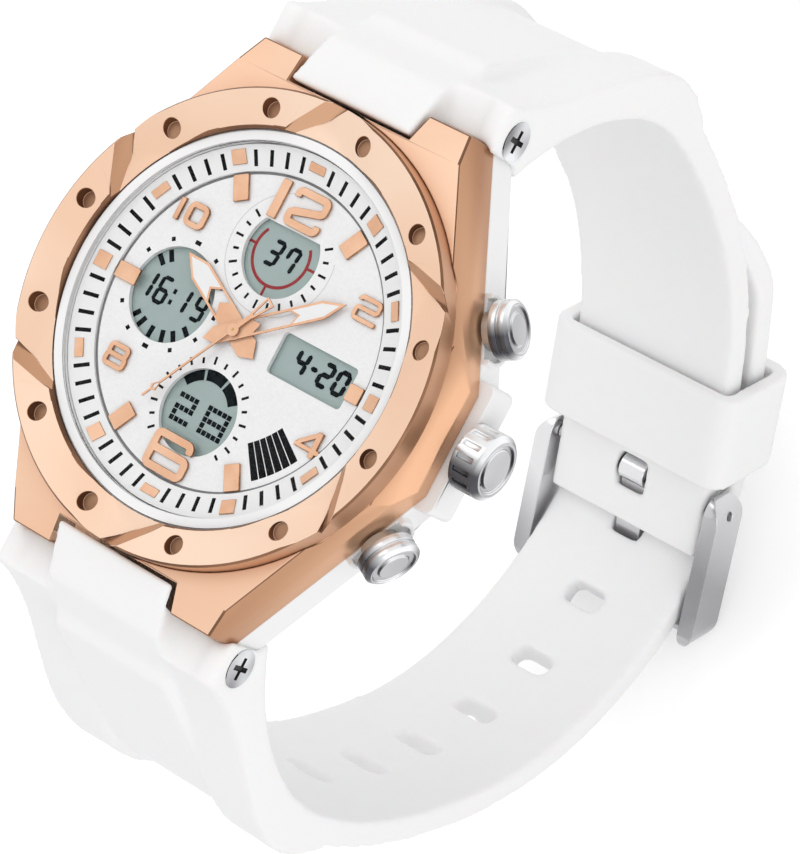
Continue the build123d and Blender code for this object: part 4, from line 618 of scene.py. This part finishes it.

# Case cover: a formed and milled steel shell, plated rose gold, glued over the white case.
# Its tops are satin and its flanks are polished; flanks and slopes get darker copies of the plating, which
# are painted shade.
rose_gold, gold_shader = finish("rose_gold", (0.9, 0.56, 0.37), 0.42, 0.18, Specular_IOR_Level=0.3)
vary_colour(
    rose_gold, gold_shader, mottle(rose_gold, 14.0, detail=1.0), (0.88, 0.53, 0.345), (0.91, 0.6, 0.42)
)
# darker copies of the plating for flanks and slopes are painted shade; the flank copy also changes mostly
# with height, as painted reflection
rose_flank_painted_shade, flank_shade_shader = finish("rose_flank_painted_shade", (0.5, 0.25, 0.13), 0.33, 0.55)
vary_colour(
    rose_flank_painted_shade, flank_shade_shader, mottle(rose_flank_painted_shade, 4.0, (0.12, 0.12, 1), 0.5),
    (0.36, 0.17, 0.085), (0.7, 0.4, 0.24),
)
rose_deep_painted_shade, deep_shade_shader = finish("rose_deep_painted_shade", (0.2, 0.09, 0.045), 0.3, 0.6)
vary_colour(
    rose_deep_painted_shade, deep_shade_shader, mottle(rose_deep_painted_shade, 6.0, detail=1.0), (0.14, 0.06, 0.028), (0.27, 0.13, 0.068)
)
crown_side = 18


def cover_face(middle, way):
    """Satin on top; the flanks and the slope beside the crown get the darker painted-shade copy, and the
    other slopes the darkest painted-shade copy.
    """
    if way.z > 0.9:
        return 0
    crown_slope = middle.x > crown_side and 0.6 < way.z < 0.75
    return 1 if way.z < 0.55 or crown_slope else 2


cover = machined_copy("case_cover", "case_cover_plated", 0.14)
sort_faces(cover, cover_face, rose_gold, rose_flank_painted_shade, rose_deep_painted_shade)
settle(cover, None, "case", "rose_gold", "case_cover")

# Crystal: a flat disc of mineral glass with a bevelled and polished rim.
# It is pressed into a ring of white plastic, which shows between the glass and the bezel.
crystal_glass = finish("crystal_glass", (1, 1, 1), 0.02, Transmission_Weight=1.0, IOR=1.06)[0]
glass_low, glass_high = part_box("crystal")
glass_gap = 0.06
glass_bevel = 0.25
glass_radius = glass_high.x - glass_gap * mm
disc = bmesh.new()
bmesh.ops.create_cone(
    disc, cap_ends=True, cap_tris=False, segments=256, radius1=glass_radius, radius2=glass_radius,
    depth=glass_high.z - glass_low.z,
)
bmesh.ops.translate(disc, vec=(0, 0, (glass_low.z + glass_high.z) / 2), verts=disc.verts)
rim = [e for e in disc.edges if all(v.co.z > glass_high.z - 0.01 * mm for v in e.verts)]
bevel_edges(disc, rim, glass_bevel * mm)
settle(piece_from(disc, "crystal_disc"), crystal_glass, "case", "crystal_glass", "crystal")

white_gasket, gasket_shader = finish("white_gasket", (0.9, 0.9, 0.9), 0.4)
vary_roughness(white_gasket, gasket_shader, mottle(white_gasket, 0.5), 0.35, 0.5)
dress(white_gasket, "crystal_gasket")

# Bezel: one turned ring with six milled petals and twelve blind holes, plated rose gold.
# The petals are satin; their slopes, steps, rim, inner cone and hole floors get darker copies of the plating,
# as painted shade.
rose_petal, petal_shader = finish("rose_petal", (0.9, 0.63, 0.46), 0.42, 0.15, Specular_IOR_Level=0.3)
vary_colour(
    rose_petal, petal_shader, mottle(rose_petal, 16.0, detail=1.0), (0.87, 0.58, 0.41), (0.92, 0.68, 0.52)
)
# the pit floors' darker copy of the plating is painted shade
rose_pit_painted_shade, pit_shade_shader = finish("rose_pit_painted_shade", (0.4, 0.2, 0.11), 0.4, 0.3)
vary_colour(rose_pit_painted_shade, pit_shade_shader, mottle(rose_pit_painted_shade, 2.0), (0.38, 0.19, 0.1), (0.46, 0.25, 0.14))

pit_ring = 20  # mm from the middle to the blind holes
pit_level = 13.4
cone_edge = 18.8
petal_edge = 21.5


def bezel_face(middle, way):
    """Satin petals, and painted shade in darker copies of the plating: on pit floors, the inner cone, slopes
    and rim, and steps.
    """
    reach = math.hypot(middle.x, middle.y)
    inward = -(way.x * middle.x + way.y * middle.y) / reach
    if way.z > 0.995 and middle.z < pit_level and abs(reach - pit_ring) < 1:
        return 3
    if way.z > 0.9:
        return 0
    if inward > 0.4 and reach < cone_edge:
        return 2
    if way.z > 0.5 and reach < petal_edge:
        return 1
    return 1 if reach > petal_edge and way.z <= 0.3 else 2


bezel = machined_copy("bezel", "bezel_plated", 0.06)
sort_faces(bezel, bezel_face, rose_petal, rose_flank_painted_shade, rose_deep_painted_shade, rose_pit_painted_shade)
settle(bezel, None, "case", "rose_gold", "bezel")

# Crown and pushers: turned and polished steel, the crown slotted round its barrel.
# Broad bright and dark bands round each axis are painted into the colour as reflection of the polish; the end
# discs are satin.
button_height = 6.9  # mm from the case back to the axes of the crown and the pushers
pusher_angle = 27.2
painted_bands_round = 2


def turned_steel_painted_bands(name, angle):
    """Steel turned about a button's axis, which lies at an angle to 3 o'clock, with painted reflection bands
    round that axis.
    """
    material, shader = finish(name, (0.6, 0.6, 0.62), 0.22, 0.6)
    place = add_node(material, "ShaderNodeTexCoord")
    level = add_node(
        material, "ShaderNodeMapping", Location=(0, 0, -button_height * mm),
        Rotation=(0, 0, -math.radians(angle)),
    )
    parts = add_node(material, "ShaderNodeSeparateXYZ")
    across = add_node(material, "ShaderNodeCombineXYZ")
    round_axis = add_node(material, "ShaderNodeTexGradient", {"gradient_type": "RADIAL"})
    count = add_node(material, "ShaderNodeMath", {"operation": "MULTIPLY"})
    count.inputs[1].default_value = math.tau * painted_bands_round
    painted_band_swing = add_node(material, "ShaderNodeMath", {"operation": "SINE"})
    wire(material, place, "Object", level, "Vector")
    wire(material, level, "Vector", parts, "Vector")
    wire(material, parts, "Y", across, "X")
    wire(material, parts, "Z", across, "Y")
    wire(material, across, "Vector", round_axis, "Vector")
    wire(material, round_axis, 1, count, 0)
    wire(material, count, "Value", painted_band_swing, 0)
    # near black to near white round the axis: painted reflection bands
    vary_colour(material, shader, painted_band_swing, (0.07, 0.07, 0.08), (0.88, 0.89, 0.9), -0.8, 0.6)
    vary_roughness(material, shader, mottle(material, 0.4), 0.2, 0.3)
    return material


satin_disc, disc_shader = finish("satin_disc", (0.5, 0.5, 0.51), 0.4, 0.6)
vary_colour(
    satin_disc, disc_shader, mottle(satin_disc, 6.0, detail=1.0), (0.42, 0.42, 0.43), (0.56, 0.56, 0.57)
)
disc_radius = 2

for name, angle in (("crown", 0), ("pusher_upper", pusher_angle), ("pusher_lower", -pusher_angle)):
    button = machined_copy(name, name + "_turned", 0.08)
    axis = Vector((math.cos(math.radians(angle)), math.sin(math.radians(angle)), 0))

    def button_face(middle, way):
        """Satin on the disc at the outer end, polished elsewhere."""
        off_axis = middle - axis * middle.dot(axis) - Vector((0, 0, button_height))
        return 1 if way.dot(axis) > 0.95 and off_axis.length < disc_radius else 0

    sort_faces(button, button_face, turned_steel_painted_bands(name + "_steel", angle), satin_disc)
    settle(button, None, body_of(name), "polished_steel", name)

# Strap: two halves of soft white silicone, moulded over threaded tubes and screwed to the lugs.
# Every corner is rounded over; the polished steel screws have a cross cut in their heads, painted near black
# as shade.
white_strap, strap_shader = finish(
    "white_strap", (0.93, 0.93, 0.93), 0.5, Sheen_Weight=0.05, Sheen_Roughness=0.5, Subsurface_Weight=0.1,
    Subsurface_Scale=0.001,
)
vary_roughness(white_strap, strap_shader, mottle(white_strap, 1.5), 0.45, 0.6)
raise_grain(white_strap, strap_shader, mottle(white_strap, 0.2), 0.003)


def soft_copy(node, name, voxel, rounds):
    """A copy of a soft node with every corner rounded over, as silicone leaves its mould."""
    shape = merged_copy(node)
    bmesh.ops.triangulate(shape, faces=shape.faces)
    piece = piece_from(shape, name, 180)
    remesh = piece.modifiers.new("remesh", "REMESH")
    remesh.mode = "VOXEL"
    remesh.voxel_size = voxel * mm
    remesh.use_smooth_shade = True
    graph = bpy.context.evaluated_depsgraph_get()
    mesh = bpy.data.meshes.new_from_object(piece.evaluated_get(graph))
    piece.modifiers.clear()
    shape = bmesh.new()
    shape.from_mesh(mesh)
    for _ in range(rounds):
        bmesh.ops.smooth_vert(
            shape, verts=shape.verts, factor=0.5, use_axis_x=True, use_axis_y=True, use_axis_z=True
        )
    shape.to_mesh(piece.data)
    shape.free()
    piece.data.shade_smooth()
    return piece


for name in ("strap_upper", "strap_lower"):
    half = soft_copy(name, name + "_silicone", voxel=0.4, rounds=3)
    settle(half, white_strap, "case", "white_strap", name)
dress(polished_steel, "buckle_bar")

# the cross recess in each screw head is painted near black as shade
cross_painted_shade, cross_shade_shader = finish("cross_painted_shade", (0.03, 0.03, 0.032), 0.4, 0.6)
vary_roughness(cross_painted_shade, cross_shade_shader, mottle(cross_painted_shade, 0.3), 0.3, 0.5)
screw_row = 26.3  # mm from the middle to the axes of the screws
cross_level = 13.36
cross_reach = 1.15


def screw_face(middle, way):
    """Painted shade, near black, where a face lies below the head's top and near its axis, in the cross."""
    return 1 if abs(middle.x) < cross_level and abs(abs(middle.y) - screw_row) < cross_reach else 0


heads = machined_copy("strap_screws", "strap_screws_turned", 0.08)
sort_faces(heads, screw_face, polished_steel, cross_painted_shade)
settle(heads, None, "case", "polished_steel", "strap_screws")

# Keeper: a loop of the same silicone that holds the tail of the strap down.
# Moulded in one piece with every corner rounded; it slides along the strap.
loop = soft_copy("keeper", "keeper_silicone", voxel=0.3, rounds=3)
settle(loop, white_strap, "keeper", "white_strap", "keeper")

# Buckle: cast and polished steel frame and tongue, their edges rounded on the wheel.
# The frame swings on a bar through the end of the upper strap, and the tongue lies in its notch.
# broad dark and light patches in the buckle's colour are painted reflection
buckle_steel_painted_reflection, buckle_reflection_shader = finish("buckle_steel_painted_reflection", (0.6, 0.6, 0.61), 0.2, 0.9)
vary_colour(
    buckle_steel_painted_reflection, buckle_reflection_shader, mottle(buckle_steel_painted_reflection, 16.0, (1, 1, 0.4), 0.0),
    (0.36, 0.36, 0.37), (0.8, 0.8, 0.81),
)
for name in ("buckle_frame", "buckle_tongue"):
    cast = machined_copy(name, name + "_polished", 0.12, segments=3)
    settle(cast, buckle_steel_painted_reflection, body_of(name), "polished_steel", name)

# Studio: a plain pale floor under the strap that keeps its shadow, an even white surround and two soft lamps.
# The camera stands right of the watch and above it, as in the photograph.


def backdrop_rays(tree):
    """One where a camera, mirror or glass ray arrives, so metal and glass show the white background too."""
    rays = tree.nodes.new("ShaderNodeLightPath")
    total = rays.outputs["Is Camera Ray"]
    for kind in ("Is Glossy Ray", "Is Transmission Ray"):
        either = tree.nodes.new("ShaderNodeMath")
        either.operation = "MAXIMUM"
        tree.links.new(total, either.inputs[0])
        tree.links.new(rays.outputs[kind], either.inputs[1])
        total = either.outputs[0]
    return total


def split_view(tree, output_kind, lighting, seen):
    """One shader for the rays that light the scene, and another for the rays that show the backdrop."""
    shown = tree.nodes.new(output_kind)
    pick = tree.nodes.new("ShaderNodeMixShader")
    tree.links.new(backdrop_rays(tree), pick.inputs[0])
    tree.links.new(lighting.outputs[0], pick.inputs[1])
    tree.links.new(seen.outputs[0], pick.inputs[2])
    tree.links.new(pick.outputs[0], shown.inputs["Surface"])


def white_light(tree, strength):
    """An even white light for the world's surround."""
    background = tree.nodes.new("ShaderNodeBackground")
    background.inputs["Color"].default_value = (1, 1, 1, 1)
    background.inputs["Strength"].default_value = strength
    return background


floor_mesh = bmesh.new()
bmesh.ops.create_grid(floor_mesh, x_segments=1, y_segments=1, size=3.0)
bmesh.ops.translate(floor_mesh, vec=(0, 0, cad_box[0][2]), verts=floor_mesh.verts)
floor = piece_from(floor_mesh, "floor")
floor_paint = bpy.data.materials.new("floor_paint")
floor_paint.use_nodes = True
tree = floor_paint.node_tree
tree.nodes.clear()
diffuse = tree.nodes.new("ShaderNodeBsdfDiffuse")
diffuse.inputs["Color"].default_value = (0.8, 0.8, 0.8, 1)
glow = tree.nodes.new("ShaderNodeEmission")
glow.inputs["Strength"].default_value = 0.35
seen_floor = tree.nodes.new("ShaderNodeAddShader")
tree.links.new(diffuse.outputs[0], seen_floor.inputs[0])
tree.links.new(glow.outputs[0], seen_floor.inputs[1])
split_view(tree, "ShaderNodeOutputMaterial", diffuse, seen_floor)
floor.data.materials.append(floor_paint)

world = bpy.data.worlds.new("surround")
bpy.context.scene.world = world
world.use_nodes = True
tree = world.node_tree
tree.nodes.clear()
split_view(tree, "ShaderNodeOutputWorld", white_light(tree, 0.88), white_light(tree, 1.0))


def soft_lamp(name, place, aim, size, power):
    """A square lamp of a size in metres and a power in watts, turned towards its aim."""
    lamp = bpy.data.lights.new(name, "AREA")
    lamp.shape = "SQUARE"
    lamp.size = size
    lamp.energy = power
    rig = bpy.data.objects.new(name, lamp)
    facing = (Vector(place) - Vector(aim)).to_track_quat("Z", "Y").to_matrix().to_4x4()
    rig.matrix_world = Matrix.Translation(place) @ facing
    bpy.context.scene.collection.objects.link(rig)


soft_lamp("key", (-0.22, 0.2, 0.5), (0, 0, 0), 0.35, 0.45)
soft_lamp("fill", (0.5, -0.1, 0.15), (0, 0, -0.02), 0.4, 0.45)

# the camera's lens, place and directions, solved from the bezel, the crystal and the dial in the photograph
camera = bpy.data.cameras.new("camera")
camera.sensor_fit = "VERTICAL"
camera.sensor_height = 36.0
camera.lens = 157.76
eye = bpy.data.objects.new("camera", camera)
right = Vector((0.7607, 0.4645, -0.4534)).normalized()
up = Vector((-0.4112, 0.8853, 0.2171)).normalized()
back = right.cross(up)
up = back.cross(right)
facing = Matrix((right, up, back)).transposed().to_4x4()
eye.matrix_world = Matrix.Translation((0.1817, 0.0063, 0.2909)) @ facing
bpy.context.scene.collection.objects.link(eye)
bpy.context.scene.camera = eye
bpy.context.scene.view_settings.view_transform = "Standard"
